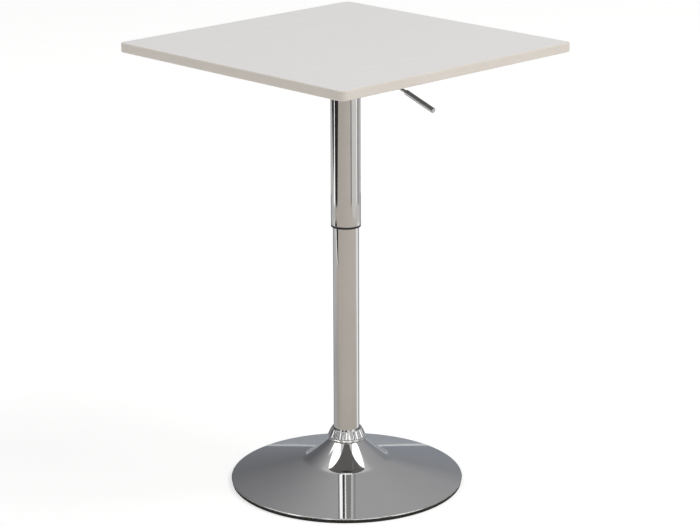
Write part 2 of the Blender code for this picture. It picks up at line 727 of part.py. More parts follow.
def add_taper_hub(materials, lift):
    """The hub that grips the tube's taper, flanged over the floor of the pan."""
    taper = (TUBE_RADIUS - TAPER_TOP_RADIUS) / (TUBE_TOP - HUB_BOTTOM)
    top_bore = TUBE_RADIUS - taper * (HUB_TOP - HUB_BOTTOM) + GAP
    flange_bottom = PAN_FLOOR_TOP + GAP
    flange_top = flange_bottom + HUB_FLANGE
    outline = [
        (TUBE_RADIUS + GAP, HUB_BOTTOM),
        (HUB_RADIUS, HUB_BOTTOM),
        (HUB_RADIUS, flange_bottom),
        (HUB_FLANGE_RADIUS, flange_bottom),
        (HUB_FLANGE_RADIUS, flange_top),
        (HUB_RADIUS, flange_top),
        (HUB_RADIUS, HUB_TOP),
        (top_bore, HUB_TOP),
    ]
    add_object("taper_hub", turned("taper_hub", outline, ROUND), materials["steel"], parent=lift)


def add_plate_screws(materials, lift):
    """Pan-head wood screws through the flange into the board."""
    head_top = PLATE_BOTTOM - GAP
    head_bottom = head_top - SCREW_HEAD_HEIGHT
    face_radius = SCREW_HEAD_RADIUS - SCREW_HEAD_HEIGHT / 2
    point = PLATE_TOP + SCREW_DEPTH
    outline = [
        (0.0, head_bottom),
        (face_radius, head_bottom),
        (SCREW_HEAD_RADIUS, head_bottom + SCREW_HEAD_HEIGHT / 2),
        (SCREW_HEAD_RADIUS, head_top),
        (SCREW_SHANK, head_top),
        (SCREW_SHANK, point - SCREW_POINT),
        (0.0, point),
    ]
    mesh = turned("plate_screw", outline, TINY_ROUND)
    for number, (x, y) in enumerate(screw_places(), 1):
        name = f"plate_screw_{number}"
        copy = mesh.copy()
        copy.transform(Matrix.Translation((x, y, 0.0)))
        add_object(name, copy, materials["steel"], origin=(x, y, 0.0), parent=lift)


# Sleeve -------------------------------------------------------------------------------
def add_sleeve(materials, lift):
    """The chromed cover sleeve, its centring ring on the hub and its black end ring."""
    top = PAN_FLOOR_BOTTOM - GAP
    bore = SLEEVE_RADIUS - SLEEVE_WALL
    sleeve = ring_outline(bore, SLEEVE_RADIUS, SLEEVE_BOTTOM, top)
    add_object("column_sleeve", turned("column_sleeve", sleeve), materials["chrome"], parent=lift)
    spacer = turned("sleeve_spacer", ring_outline(HUB_RADIUS + GAP, bore - GAP, top - SPACER_HEIGHT, top))
    add_object("sleeve_spacer", spacer, materials["black_plastic"], parent=lift)
    ring_top = SLEEVE_BOTTOM - GAP
    ring_bottom = ring_top - SLEEVE_RING_HEIGHT
    spigot = bore - GAP
    ring_bore = COLUMN_RADIUS + GAP
    end_ring = [
        (ring_bore, ring_bottom),
        (SLEEVE_RADIUS - SLEEVE_RING_BREAK, ring_bottom),
        (SLEEVE_RADIUS, ring_bottom + SLEEVE_RING_BREAK),
        (SLEEVE_RADIUS, ring_top),
        (spigot, ring_top),
        (spigot, ring_top + SLEEVE_RING_SPIGOT),
        (ring_bore, ring_top + SLEEVE_RING_SPIGOT),
    ]
    add_object("sleeve_ring", turned("sleeve_ring", end_ring), materials["black_plastic"], parent=lift)


# Table top ----------------------------------------------------------------------------
def add_top(materials, lift):
    """Core board, laminate above, backer below and the edging all round."""
    inner_half = TOP_SIDE / 2 - EDGE_BAND - GAP
    inner_radius = TOP_CORNER_RADIUS - EDGE_BAND - GAP
    outline = rounded_square(inner_half, inner_radius)
    board_bottom = UNDERSIDE + BACKER + GAP
    board_top = TABLE_HEIGHT - LAMINATE - GAP
    board_mesh = prism("top_board", outline, board_bottom, board_top)
    board = add_object("top_board", board_mesh, materials["board"], parent=lift)
    backer_mesh = prism("backer_sheet", outline, UNDERSIDE, UNDERSIDE + BACKER)
    backer = add_object("backer_sheet", backer_mesh, materials["backer"], parent=lift)
    laminate_mesh = prism("top_laminate", outline, TABLE_HEIGHT - LAMINATE, TABLE_HEIGHT)
    add_object("top_laminate", laminate_mesh, materials["laminate"], parent=lift)
    for number, (x, y) in enumerate(screw_places(), 1):
        name = f"pilot_hole_{number}"
        low = (x, y, UNDERSIDE - OVERCUT)
        high = (x, y, UNDERSIDE + PILOT_DEPTH)
        cutter = add_object(name, rod_along(name, low, high, PILOT_RADIUS, TINY_ROUND), materials["board"])
        boolean(board, cutter, "DIFFERENCE")
        boolean(backer, cutter, "DIFFERENCE")
    add_edge_band(materials, lift)


def add_edge_band(materials, lift):
    """A band swept round the board, its two outer arrises rounded."""
    radius = TOP_EDGE_RADIUS
    low = (-radius, UNDERSIDE + radius)
    high = (-radius, TABLE_HEIGHT - radius)
    section = [
        (-EDGE_BAND, UNDERSIDE),
        *arc(low, radius, -math.pi / 2, 0.0, 4),
        *arc(high, radius, 0.0, math.pi / 2, 4),
        (-EDGE_BAND, TABLE_HEIGHT),
    ]
    shape = bmesh.new()
    rings = []
    for inset, height in section:
        half = TOP_SIDE / 2 + inset
        corner = TOP_CORNER_RADIUS + inset
        rings.append([shape.verts.new((*p, height)) for p in rounded_square(half, corner)])
    count = len(rings[0])
    for ring, following in zip(rings, rings[1:] + rings[:1]):
        for spot in range(count):
            ahead = (spot + 1) % count
            shape.faces.new((ring[spot], ring[ahead], following[ahead], following[spot]))
    add_object("edge_band", finish_mesh("edge_band", shape), materials["edging"], parent=lift)


# Lever --------------------------------------------------------------------------------
def on_lever(y):
    """The point of the lever's centre line at a distance along Y."""
    straight = max(y, LEVER_BEND_Y) * math.tan(LEVER_SLOPE)
    bent = min(y - LEVER_BEND_Y, 0.0) * math.tan(GRIP_SLOPE)
    return Vector((0.0, y, LEVER_AXIS_HEIGHT + straight + bent))


def across_pivot(name, radius, half_length, steps=TINY_ROUND):
    """A cylinder on the lever's pivot axis."""
    low = (-half_length, LEVER_PIVOT_Y, LEVER_PIVOT_Z)
    high = (half_length, LEVER_PIVOT_Y, LEVER_PIVOT_Z)
    return rod_along(name, low, high, radius, steps)


def add_lever_bracket(materials, lift):
    """Two ears on the floor of the pan, and the pin through them."""
    floor = PAN_FLOOR_TOP + GAP
    front = LEVER_PIVOT_Y - EAR_FRONT
    back = LEVER_PIVOT_Y + EAR_BACK
    top = LEVER_PIVOT_Z + EAR_TOP
    foot_high = (EAR_OUTSIDE, back, floor + BRACKET_SHEET)
    foot = block("lever_bracket", (-EAR_OUTSIDE, front, floor), foot_high)
    bracket = add_object("lever_bracket", foot, materials["steel"], parent=lift)
    for side in (-1, 1):
        low, high = sorted((side * EAR_INSIDE, side * EAR_OUTSIDE))
        name = "left_ear" if side < 0 else "right_ear"
        ear = block(name, (low, front, floor), (high, back, top))
        boolean(bracket, add_object(name, ear, materials["steel"]), "UNION")
    holes = across_pivot("ear_holes", LEVER_PIN_RADIUS + GAP, LEVER_PIN_HALF_LENGTH + OVERCUT)
    boolean(bracket, add_object("ear_holes", holes, materials["steel"]), "DIFFERENCE")
    pin = across_pivot("lever_pin", LEVER_PIN_RADIUS, LEVER_PIN_HALF_LENGTH)
    add_object("lever_pin", pin, materials["steel"], parent=lift)


def add_lever_rod(materials, pivot):
    """The lever's rod, bent a little before the grip, with its pivot barrel."""
    bend = on_lever(LEVER_BEND_Y)
    end = on_lever(LEVER_ROD_END_Y)
    place = pivot.location
    inner_mesh = rod_along("lever_rod", on_lever(LEVER_INNER_Y), bend, LEVER_ROD_RADIUS)
    rod = add_object("lever_rod", inner_mesh, materials["chrome"], origin=place, parent=pivot)
    overlap = (end - bend).normalized() * LEVER_ROD_RADIUS / 2
    outer_mesh = rod_along("lever_rod_end", bend - overlap, end, LEVER_ROD_RADIUS)
    boolean(rod, add_object("lever_rod_end", outer_mesh, materials["chrome"]), "UNION")
    barrel = across_pivot("lever_barrel", BARREL_RADIUS, BARREL_HALF_LENGTH, SMALL_ROUND)
    boolean(rod, add_object("lever_barrel", barrel, materials["chrome"]), "UNION")
    hole = across_pivot("lever_pin_hole", LEVER_PIN_RADIUS + GAP, BARREL_HALF_LENGTH + OVERCUT)
    boolean(rod, add_object("lever_pin_hole", hole, materials["chrome"]), "DIFFERENCE")


def add_lever_grip(materials, pivot):
    """The thicker grip pushed over the rod's outer end."""
    start = on_lever(LEVER_GRIP_START_Y)
    axis = on_lever(LEVER_TIP_Y) - start
    bore = LEVER_ROD_RADIUS + GAP
    bore_end = (on_lever(LEVER_ROD_END_Y) - start).length + 2 * GAP
    outer = LEVER_GRIP_RADIUS
    face = outer - LEVER_GRIP_BREAK
    outline = [
        (bore, 0.0),
        (face, 0.0),
        (outer, LEVER_GRIP_BREAK),
        (outer, axis.length - LEVER_GRIP_BREAK),
        (face, axis.length),
        (0.0, axis.length),
        (0.0, bore_end),
        (bore, bore_end),
    ]
    grip = turned("lever_grip", outline, SMALL_ROUND)
    grip.transform(Matrix.Translation(start) @ axis.to_track_quat("Z", "Y").to_matrix().to_4x4())
    add_object("lever_grip", grip, materials["chrome"], origin=pivot.location, parent=pivot)


# Assembly -----------------------------------------------------------------------------
def add_frame(name, location, parent=None):
    """An empty on a joint's axis."""
    frame = bpy.data.objects.new(name, None)
    bpy.context.scene.collection.objects.link(frame)
    frame.location = location
    if parent:
        frame.parent = parent
    return frame


def build():
    """Make the whole table."""
    for item in list(bpy.data.objects):
        bpy.data.objects.remove(item, do_unlink=True)
    materials = make_materials()
    neck_height = add_base_dish(materials)
    add_base_collar(materials, neck_height)
    add_floor_ring(materials)
    counterbore_top = add_ballast(materials)
    add_bottom_cover(materials)
    add_base_bolt(materials, counterbore_top)
    add_column(materials)
    add_column_foot(materials)
    add_seat_plate(materials)
    add_guide_bush(materials)
    turntable = add_frame("swivel_axis", (0.0, 0.0, 0.0))
    lift = add_frame("lift_axis", (0.0, 0.0, 0.0), turntable)
    pivot = add_frame("lever_axis", (0.0, LEVER_PIVOT_Y, LEVER_PIVOT_Z), lift)
    button = add_frame("button_axis", (0.0, 0.0, PIN_TOP), lift)
    add_bearing(materials, turntable)
    add_bumper(materials, turntable)
    add_piston_rod(materials, turntable)
    add_piston(materials, turntable)
    add_pressure_tube(materials, lift)
    add_valve_body(materials, lift)
    add_release_button(materials, button)
    add_mechanism_plate(materials, lift)
    add_taper_hub(materials, lift)
    add_plate_screws(materials, lift)
    add_sleeve(materials, lift)
    add_top(materials, lift)
    add_lever_bracket(materials, lift)
    add_lever_rod(materials, pivot)
    add_lever_grip(materials, pivot)


build()
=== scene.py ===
import json
import math

import bmesh
import bpy
from mathutils import Matrix, Vector


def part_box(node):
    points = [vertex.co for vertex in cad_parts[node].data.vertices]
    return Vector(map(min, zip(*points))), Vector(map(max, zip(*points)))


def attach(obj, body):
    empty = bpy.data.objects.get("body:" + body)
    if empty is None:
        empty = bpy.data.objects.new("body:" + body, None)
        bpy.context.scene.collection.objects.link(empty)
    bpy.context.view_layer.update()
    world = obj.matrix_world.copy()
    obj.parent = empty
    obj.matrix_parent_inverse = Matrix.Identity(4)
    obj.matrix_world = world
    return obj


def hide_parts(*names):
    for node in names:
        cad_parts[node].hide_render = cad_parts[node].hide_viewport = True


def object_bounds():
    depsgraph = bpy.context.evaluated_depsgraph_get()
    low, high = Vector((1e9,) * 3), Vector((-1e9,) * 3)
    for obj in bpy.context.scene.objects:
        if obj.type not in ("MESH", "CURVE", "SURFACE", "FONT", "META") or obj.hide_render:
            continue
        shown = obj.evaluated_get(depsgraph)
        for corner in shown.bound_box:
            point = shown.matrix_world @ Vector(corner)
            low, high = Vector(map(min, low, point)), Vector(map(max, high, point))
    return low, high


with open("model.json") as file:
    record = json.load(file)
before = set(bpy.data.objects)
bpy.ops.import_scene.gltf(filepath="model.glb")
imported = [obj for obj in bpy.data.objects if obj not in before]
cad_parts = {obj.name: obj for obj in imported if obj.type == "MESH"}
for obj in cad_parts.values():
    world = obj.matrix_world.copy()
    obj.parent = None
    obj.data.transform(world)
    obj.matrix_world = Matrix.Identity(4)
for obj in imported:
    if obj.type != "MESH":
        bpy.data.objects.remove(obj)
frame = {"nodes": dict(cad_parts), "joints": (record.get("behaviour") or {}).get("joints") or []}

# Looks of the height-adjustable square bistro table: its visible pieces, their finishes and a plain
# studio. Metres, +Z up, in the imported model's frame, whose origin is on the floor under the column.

CAD_LOW, CAD_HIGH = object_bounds()

# --- Camera and studio
CAMERA_AZIMUTH = math.radians(44.3)  # of its side of the table, from -Y towards -X
CAMERA_PLACE = Vector((-3.0160, -3.0906, 1.7520))
CAMERA_HEADING = math.radians(44.453)  # of its line of sight, from +Y towards +X
CAMERA_TILT = math.radians(16.805)  # below the horizon
CAMERA_ROLL = math.radians(0.160)
CAMERA_LENS = 120.08  # mm, as the sensor
CAMERA_SENSOR = 36.0
CAMERA_SHIFT = -0.002857  # of the picture's width

FLOOR_RADIUS = 30.0
PAPER_DROP = 0.002
FLOOR_COLOUR = (0.48, 0.48, 0.478)
FLOOR_GLOW = 1.25  # lifts the pale floor to the brightness of a lit sweep
FRONT_PAPER_COLOUR = (0.60, 0.555, 0.505)  # the sweep that the chrome reflects
SIDE_PAPER_COLOUR = (0.66, 0.65, 0.64)
REAR_PAPER_COLOUR = (0.36, 0.385, 0.42)
WHITE_CARD = (0.97, 0.97, 0.97)
PALE_CARD = (0.70, 0.69, 0.67)
MID_CARD = (0.46, 0.46, 0.46)
SHADE_CARD = (0.20, 0.20, 0.20)
BLACK_CARD = (0.02, 0.02, 0.02)
BACKGROUND = (0.97, 0.97, 0.975)
AMBIENT = (0.46, 0.46, 0.465)  # all round, on matt surfaces
AMBIENT_LEFT = (0.33, 0.33, 0.335)
LEFT_SHADE = (-70, 0)  # the azimuth and elevation of its middle
LEFT_SHADE_REACH = (0.1, 0.8)  # the cosines to its middle where it begins and is whole
REAR_SHADE = (-140, 12)
REAR_SHADE_REACH = (0.66, 0.98)
REAR_SHADE_COLOUR = (0.10, 0.10, 0.11)
REAR_SHADE_STRENGTH = 0.75
WINDOW_SOFTNESS = 0.02
SOFTBOX_DISTANCE = 10.0

# Each paper: its name, azimuths (first, last, step), reach, colour and share of the drop
PAPERS = (
    ("paper_near", (-90, 90, 30), 12.0, FRONT_PAPER_COLOUR, 1.0),
    ("paper_left", (-150, -90, 30), 12.0, SIDE_PAPER_COLOUR, 1.0),
    ("paper_right", (90, 150, 30), 12.0, SIDE_PAPER_COLOUR, 1.0),
    ("paper_far", (150, 210, 30), 12.0, SIDE_PAPER_COLOUR, 1.0),
    ("rear_paper", (135, 225, 15), 2.2, REAR_PAPER_COLOUR, 0.75),
)
# Each card: its name, (azimuth, distance) corners, colour and glow
CARDS = (
    (
        "dark_flag",
        ((-66, 2.1), (-84, 2.1), (-114, 2.7), (-134, 5.0), (-50, 5.0), (-60, 2.9)),
        BLACK_CARD,
        0.0,
    ),
    (
        "white_strip",
        ((-88, 2.1), (-104, 2.1), (-97, 3.0), (-94, 5.0), (-91, 5.0), (-90, 3.0)),
        WHITE_CARD,
        0.6,
    ),
    ("right_line", ((38, 2.1), (46, 2.1), (46, 5.0), (38, 5.0)), SHADE_CARD, 0.0),
    ("right_card", ((46, 2.1), (90, 2.1), (90, 5.0), (46, 5.0)), PALE_CARD, 0.0),
    ("right_bright", ((90, 2.1), (98, 2.1), (98, 5.0), (90, 5.0)), WHITE_CARD, 0.3),
    ("right_dark", ((98, 2.1), (108, 2.1), (108, 5.0), (98, 5.0)), SHADE_CARD, 0.0),
    ("right_shade", ((108, 2.1), (128, 2.1), (128, 5.0), (108, 5.0)), MID_CARD, 0.0),
    ("right_edge", ((106, 0.3), (120, 0.3), (120, 1.9), (106, 1.9)), WHITE_CARD, 0.4),
    ("left_hook", ((-72, 1.50), (-76, 1.50), (-96, 1.95), (-72, 1.95)), BLACK_CARD, 0.0),
    ("left_glint", ((-78, 1.5), (-84, 1.5), (-104, 1.95), (-96, 1.95)), WHITE_CARD, 0.4),
)
# The grey room's colour at each height, as the sine of the elevation
ROOM = (
    (-1.0, (0.30, 0.30, 0.30)),
    (-0.012, (0.30, 0.33, 0.38)),
    (-0.004, (0.95, 0.96, 1.00)),
    (0.006, (0.95, 0.96, 1.00)),
    (0.016, (0.30, 0.32, 0.36)),
    (0.30, (0.30, 0.31, 0.33)),
    (0.45, (0.40, 0.40, 0.41)),
    (0.80, (0.46, 0.46, 0.47)),
    (1.0, (0.90, 0.90, 0.92)),
)
# Each window: its name, azimuth, elevation, half width, half height and radiance
WINDOWS = (
    ("over_front", 0, 62, 0.80, 0.12, 2.6),
    ("right", 80, 64, 0.14, 0.22, 2.8),
    ("left", -82, 64, 0.135, 0.22, 2.4),
    ("front_left", -72, 43, 0.40, 0.22, 2.0),
    ("front_dark", -35, 43, 0.26, 0.22, 0.10),
    ("front_strip", -13, 43, 0.13, 0.22, 1.9),
    ("front_grey", 22, 43, 0.46, 0.22, 0.42),
    ("front_line", 53, 43, 0.07, 0.22, 0.05),
    ("front_right", 72, 43, 0.24, 0.22, 0.9),
    ("low_dark", -36, 17, 0.80, 0.24, 0.03),
    ("low_strip", -52, 17, 0.13, 0.24, 1.7),
    ("low_glint", -20, 17, 0.08, 0.24, 1.7),
    ("low_right", 42, 17, 0.70, 0.24, 1.7),
    ("low_line", 38, 17, 0.12, 0.24, 0.05),
)
# Each softbox: its name, azimuth, elevation, size, radiance and colour
SOFTBOXES = (
    ("right_softbox", 78, 50, (6.9, 5.3), 5.0, (1.0, 0.985, 0.965)),
    ("left_softbox", -80, 50, (6.3, 4.7), 1.75, (0.98, 0.99, 1.0)),
    ("overhead", 0, 88, (6.0, 6.0), 1.0, (1.0, 1.0, 1.0)),
)

# Colours of the finishes: pairs that a noise mixes, and lone ones that a second noise adds
CHROME = ((0.690, 0.685, 0.680), (0.655, 0.652, 0.650))
LAMINATE = ((0.750, 0.742, 0.730), (0.728, 0.720, 0.708))
EDGING = ((0.672, 0.622, 0.566), (0.644, 0.594, 0.538))
EDGING_LINES = (0.615, 0.566, 0.510)
BOARD = ((0.46, 0.35, 0.23), (0.33, 0.24, 0.15))
BOARD_MOTTLE = (0.40, 0.31, 0.21)
# The backing sheet's dark grey-brown colours are painted shade: they stand in for the shade under the
# top
BACKER_PAINTED_SHADE = ((0.138, 0.135, 0.133), (0.108, 0.106, 0.105))
BACKER_SANDING_PAINTED_SHADE = (0.155, 0.152, 0.150)
PLASTIC = ((0.011, 0.011, 0.012), (0.018, 0.018, 0.019))
RUBBER = ((0.008, 0.008, 0.008), (0.024, 0.023, 0.022))
POWDER = ((0.016, 0.016, 0.017), (0.040, 0.040, 0.041))
ZINC = ((0.56, 0.56, 0.55), (0.46, 0.45, 0.42))
IRON = ((0.085, 0.083, 0.080), (0.150, 0.085, 0.050))

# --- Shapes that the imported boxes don't give
SMOOTH_ANGLE = math.radians(32)
ON_AXIS = 1e-6
FINE = 192  # steps round the base
ROUND = 128
SMALL_ROUND = 48
CORNER_STEPS = 8  # round a corner of the mechanism plate
SIDE_STEPS = 24  # along its side
EDGE = 0.0004  # the usual rounding of an edge
SOFT_EDGE = 0.0006
MID_EDGE = 0.3  # of an edge's rounding, how far in its middle lies

DISH_SLOPE = math.radians(14)
NECK_SLOPE = math.radians(36.8)
FILLET_START = 0.090
FILLET_RADIUS = 0.030
NECK_CURVE_RADIUS = 0.500
NECK_RADIUS = 0.034
DISH_SHEET = 0.0015
RIM_HEIGHT = 0.009
RIM_ROUNDING = 0.0017

# The collar's outline from its foot, as (radius, height)
COLLAR = (
    *((0.0344, 0.0), (0.0356, 0.0007), (0.0361, 0.0020), (0.0360, 0.0032), (0.0352, 0.0042)),
    *((0.0350, 0.0049), (0.0362, 0.0055), (0.0368, 0.0066), (0.0366, 0.0078), (0.0352, 0.0110)),
    *((0.0333, 0.0152), (0.0315, 0.0190), (0.0301, 0.0215)),
)
COLLAR_LIP = 0.0292
FLUTES = 34
FLUTE_STEPS = 12
FLUTE_DEPTH = 0.0013
FLUTE_LOW = 0.0049
FLUTE_HIGH = 0.0218
FLUTE_FADE = 5.0  # how soon a flute is deep
FLUTE_ROUNDNESS = 0.8

COLUMN_WALL = 0.0015
SLEEVE_WALL = 0.0012
GAP = 0.0003
HAIRLINE = 0.00005  # the least gap between pieces

TOP_CORNER = 0.012
TOP_ARRIS = 0.0025
EDGE_BAND = 0.003

PLATE_SHEET = 0.0025
PLATE_CORNER = 0.015
PAN_RADIUS = 0.055
HUB_HOLE = 0.0178

LEVER_SLOPE = math.radians(13.0)
GRIP_SLOPE = math.radians(18.7)
LEVER_BEND_Y = -0.150
LEVER_ROD_RADIUS = 0.003
LEVER_GRIP_RADIUS = 0.005


# --- Node helpers
def add_node(tree, kind, inputs=None, **settings):
    """A node with its settings made and its inputs set or linked."""
    item = tree.nodes.new(kind)
    for name, value in settings.items():
        setattr(item, name, value)
    for key, value in (inputs or {}).items():
        socket = item.inputs[key]
        if isinstance(value, bpy.types.NodeSocket):
            tree.links.new(value, socket)
        else:
            socket.default_value = value
    return item


def rgba(colour):
    """A colour with its alpha."""
    return (*colour, 1.0)


def new_finish(name, metallic=0.0, specular=0.5):
    """A Principled material with its even values set on its own sockets, and its node tree."""
    material = bpy.data.materials.new(name)
    material.use_nodes = True
    shader = material.node_tree.nodes["Principled BSDF"]
    shader.inputs["Metallic"].default_value = metallic
    shader.inputs["Specular IOR Level"].default_value = specular
    return material, material.node_tree


def grain(tree, scale, stretch=(1.0, 1.0, 1.0), detail=4.0, roughness=0.55, distortion=0.0):
    """Noise over the piece's own coordinates, stretched along an axis where asked."""
    place = add_node(tree, "ShaderNodeTexCoord").outputs["Object"]
    mapping = add_node(tree, "ShaderNodeMapping", {"Vector": place, "Scale": stretch})
    noise = add_node(
        tree,
        "ShaderNodeTexNoise",
        {
            "Vector": mapping.outputs["Vector"],
            "Scale": scale,
            "Detail": detail,
            "Roughness": roughness,
            "Distortion": distortion,
        },
    )
    return noise.outputs["Fac"]


def spread(tree, value, low, high, from_low=0.3, from_high=0.7):
    """A noise value mapped to a range."""
    inputs = {
        "Value": value,
        "From Min": from_low,
        "From Max": from_high,
        "To Min": low,
        "To Max": high,
    }
    return add_node(tree, "ShaderNodeMapRange", inputs).outputs["Result"]


def blend_colours(tree, factor, first, second):
    """Two colours mixed by a factor."""
    mix = add_node(tree, "ShaderNodeMix", {"Factor": factor}, data_type="RGBA")
    for key, colour in (("A_Color", first), ("B_Color", second)):
        socket = next(item for item in mix.inputs if item.identifier == key)
        if isinstance(colour, bpy.types.NodeSocket):
            tree.links.new(colour, socket)
        else:
            socket.default_value = rgba(colour)
    return next(item for item in mix.outputs if item.identifier == "Result_Color")


def add_math(tree, operation, *values):
    """The result of a mathematical operation."""
    return add_node(tree, "ShaderNodeMath", dict(enumerate(values)), operation=operation).outputs[0]


def bump(tree, height, depth, strength=1.0, below=None):
    """A bump of a depth in metres, on top of another one where given."""
    inputs = {"Height": height, "Distance": depth, "Strength": strength}
    if below is not None:
        inputs["Normal"] = below
    return add_node(tree, "ShaderNodeBump", inputs).outputs["Normal"]


def dress(material, colour, roughness, normal):
    """Link a colour, a roughness and a normal to the material's shader."""
    tree = material.node_tree
    shader = tree.nodes["Principled BSDF"]
    tree.links.new(colour, shader.inputs["Base Color"])
    tree.links.new(roughness, shader.inputs["Roughness"])
    tree.links.new(normal, shader.inputs["Normal"])
    return material


# --- Finishes
def make_chrome():
    """Mirror plate: slow waves, hairline scratches, and a breath of haze and finger marks."""
    material, tree = new_finish("chrome_plate", metallic=1.0)
    haze = spread(tree, grain(tree, 7.0, detail=5.0), 0.0, 1.0)
    tint = blend_colours(tree, haze, *CHROME)
    marks = spread(tree, grain(tree, 42.0, detail=6.0, distortion=0.6), 0.0, 0.022, 0.56, 0.74)
    hairlines = grain(tree, 420.0, (1.0, 1.0, 0.05), detail=2.0)
    scuffs = spread(tree, hairlines, 0.0, 0.018, 0.55, 0.80)
    roughness = add_math(tree, "ADD", spread(tree, haze, 0.030, 0.050, 0.0, 1.0), marks)
    waves = bump(tree, grain(tree, 16.0, (1.0, 1.0, 0.35), detail=1.0), 0.000012)
    roughness = add_math(tree, "ADD", roughness, scuffs)
    return dress(material, tint, roughness, bump(tree, hairlines, 0.0000015, 0.5, waves))


def make_laminate():
    """Satin off-white laminate with a very faint straight grain."""
    material, tree = new_finish("top_laminate_finish", specular=0.45)
    streaks = grain(tree, 5.0, (1.0, 26.0, 1.0), detail=6.0, roughness=0.65)
    clouds = grain(tree, 3.0, detail=2.0)
    base = blend_colours(tree, spread(tree, streaks, 0, 1), *LAMINATE)
    tone = blend_colours(tree, spread(tree, clouds, 0.0, 0.35), base, LAMINATE[1])
    pores = grain(tree, 900.0, (1.0, 3.0, 1.0), detail=2.0)
    roughness = spread(tree, streaks, 0.36, 0.46)
    return dress(material, tone, roughness, bump(tree, pores, 0.000018, 0.6))


def make_edging():
    """Warm off-white edging, satin, with faint calender lines and handling marks."""
    material, tree = new_finish("edging_finish", specular=0.45)
    patches = grain(tree, 12.0, detail=3.0)
    lines = grain(tree, 60.0, (1.0, 1.0, 14.0), detail=3.0)
    base = blend_colours(tree, spread(tree, patches, 0, 1), *EDGING)
    tone = blend_colours(tree, spread(tree, lines, 0.0, 0.25), base, EDGING_LINES)
    roughness = spread(tree, patches, 0.36, 0.48)
    return dress(material, tone, roughness, bump(tree, lines, 0.000020, 0.5))


def make_board():
    """Raw fibreboard: fine fibres over a mottled tan."""
    material, tree = new_finish("fibreboard")
    fibres = grain(tree, 700.0, (1.0, 0.4, 1.0), detail=6.0)
    mottle = grain(tree, 40.0, detail=5.0)
    base = blend_colours(tree, spread(tree, fibres, 0, 1), *BOARD)
    tone = blend_colours(tree, spread(tree, mottle, 0.0, 0.4), base, BOARD_MOTTLE)
    return dress(material, tone, spread(tree, mottle, 0.78, 0.92), bump(tree, fibres, 0.00012))


def make_backer_with_painted_shade():
    """Matt backing sheet with paper fibre and faint sanding lines; its dark grey-brown is painted
    shade, standing in for the shade under the top.
    """
    material, tree = new_finish("backing_sheet_painted_shade")
    fibres = grain(tree, 260.0, detail=6.0)
    sanding = grain(tree, 30.0, (1.0, 34.0, 1.0), detail=4.0)
    # The dark tone mixed here is painted shade for the underside of the top
    base = blend_colours(tree, spread(tree, fibres, 0, 1), *BACKER_PAINTED_SHADE)
    tone = blend_colours(tree, spread(tree, sanding, 0.0, 0.5), base, BACKER_SANDING_PAINTED_SHADE)
    return dress(material, tone, spread(tree, sanding, 0.55, 0.72), bump(tree, sanding, 0.00003))


def make_black_plastic():
    """Moulded black plastic with a fine matt grain."""
    material, tree = new_finish("black_moulding")
    texture = grain(tree, 1100.0, detail=3.0)
    patches = grain(tree, 30.0)
    tone = blend_colours(tree, spread(tree, patches, 0, 1), *PLASTIC)
    roughness = spread(tree, patches, 0.34, 0.48)
    return dress(material, tone, roughness, bump(tree, texture, 0.00004, 0.6))


def make_rubber():
    """Black rubber with a dusty bloom."""
    material, tree = new_finish("floor_rubber")
    bloom = grain(tree, 55.0, detail=5.0)
    texture = grain(tree, 650.0, detail=4.0)
    tone = blend_colours(tree, spread(tree, bloom, 0, 1, 0.4, 0.8), *RUBBER)
    return dress(material, tone, spread(tree, bloom, 0.62, 0.84), bump(tree, texture, 0.00008, 0.7))


def make_black_steel():
    """Powder-coated pressed steel: an orange-peel skin with small rubs."""
    material, tree = new_finish("powder_coat")
    peel = grain(tree, 520.0, detail=2.0)
    rubs = grain(tree, 35.0, detail=7.0, roughness=0.7)
    tone = blend_colours(tree, spread(tree, rubs, 0, 1, 0.55, 0.8), *POWDER)
    return dress(material, tone, spread(tree, rubs, 0.33, 0.50), bump(tree, peel, 0.00006, 0.8))


def make_steel():
    """Zinc plate: spangled brightness, a faint straw tint and turning lines."""
    material, tree = new_finish("zinc_plate", metallic=1.0)
    spangle = grain(tree, 150.0, detail=5.0)
    turning = grain(tree, 240.0, (1.0, 1.0, 16.0), detail=2.0)
    tone = blend_colours(tree, spread(tree, spangle, 0, 1), *ZINC)
    roughness = spread(tree, spangle, 0.20, 0.36)
    return dress(material, tone, roughness, bump(tree, turning, 0.00002, 0.6))


def make_iron():
    """Rough cast iron with a dark skin and a little rust."""
    material, tree = new_finish("cast_iron", metallic=0.75)
    sand = grain(tree, 380.0, detail=6.0, roughness=0.7)
    rust = grain(tree, 60.0, detail=6.0)
    tone = blend_colours(tree, spread(tree, rust, 0, 1, 0.6, 0.8), *IRON)
    return dress(material, tone, spread(tree, sand, 0.60, 0.82), bump(tree, sand, 0.00025))


FINISHES = {
    "chrome": make_chrome(),
    "laminate": make_laminate(),
    "edging": make_edging(),
    "board": make_board(),
    "backer": make_backer_with_painted_shade(),
    "black_plastic": make_black_plastic(),
    "rubber": make_rubber(),
    "black_steel": make_black_steel(),
    "steel": make_steel(),
    "iron": make_iron(),
}


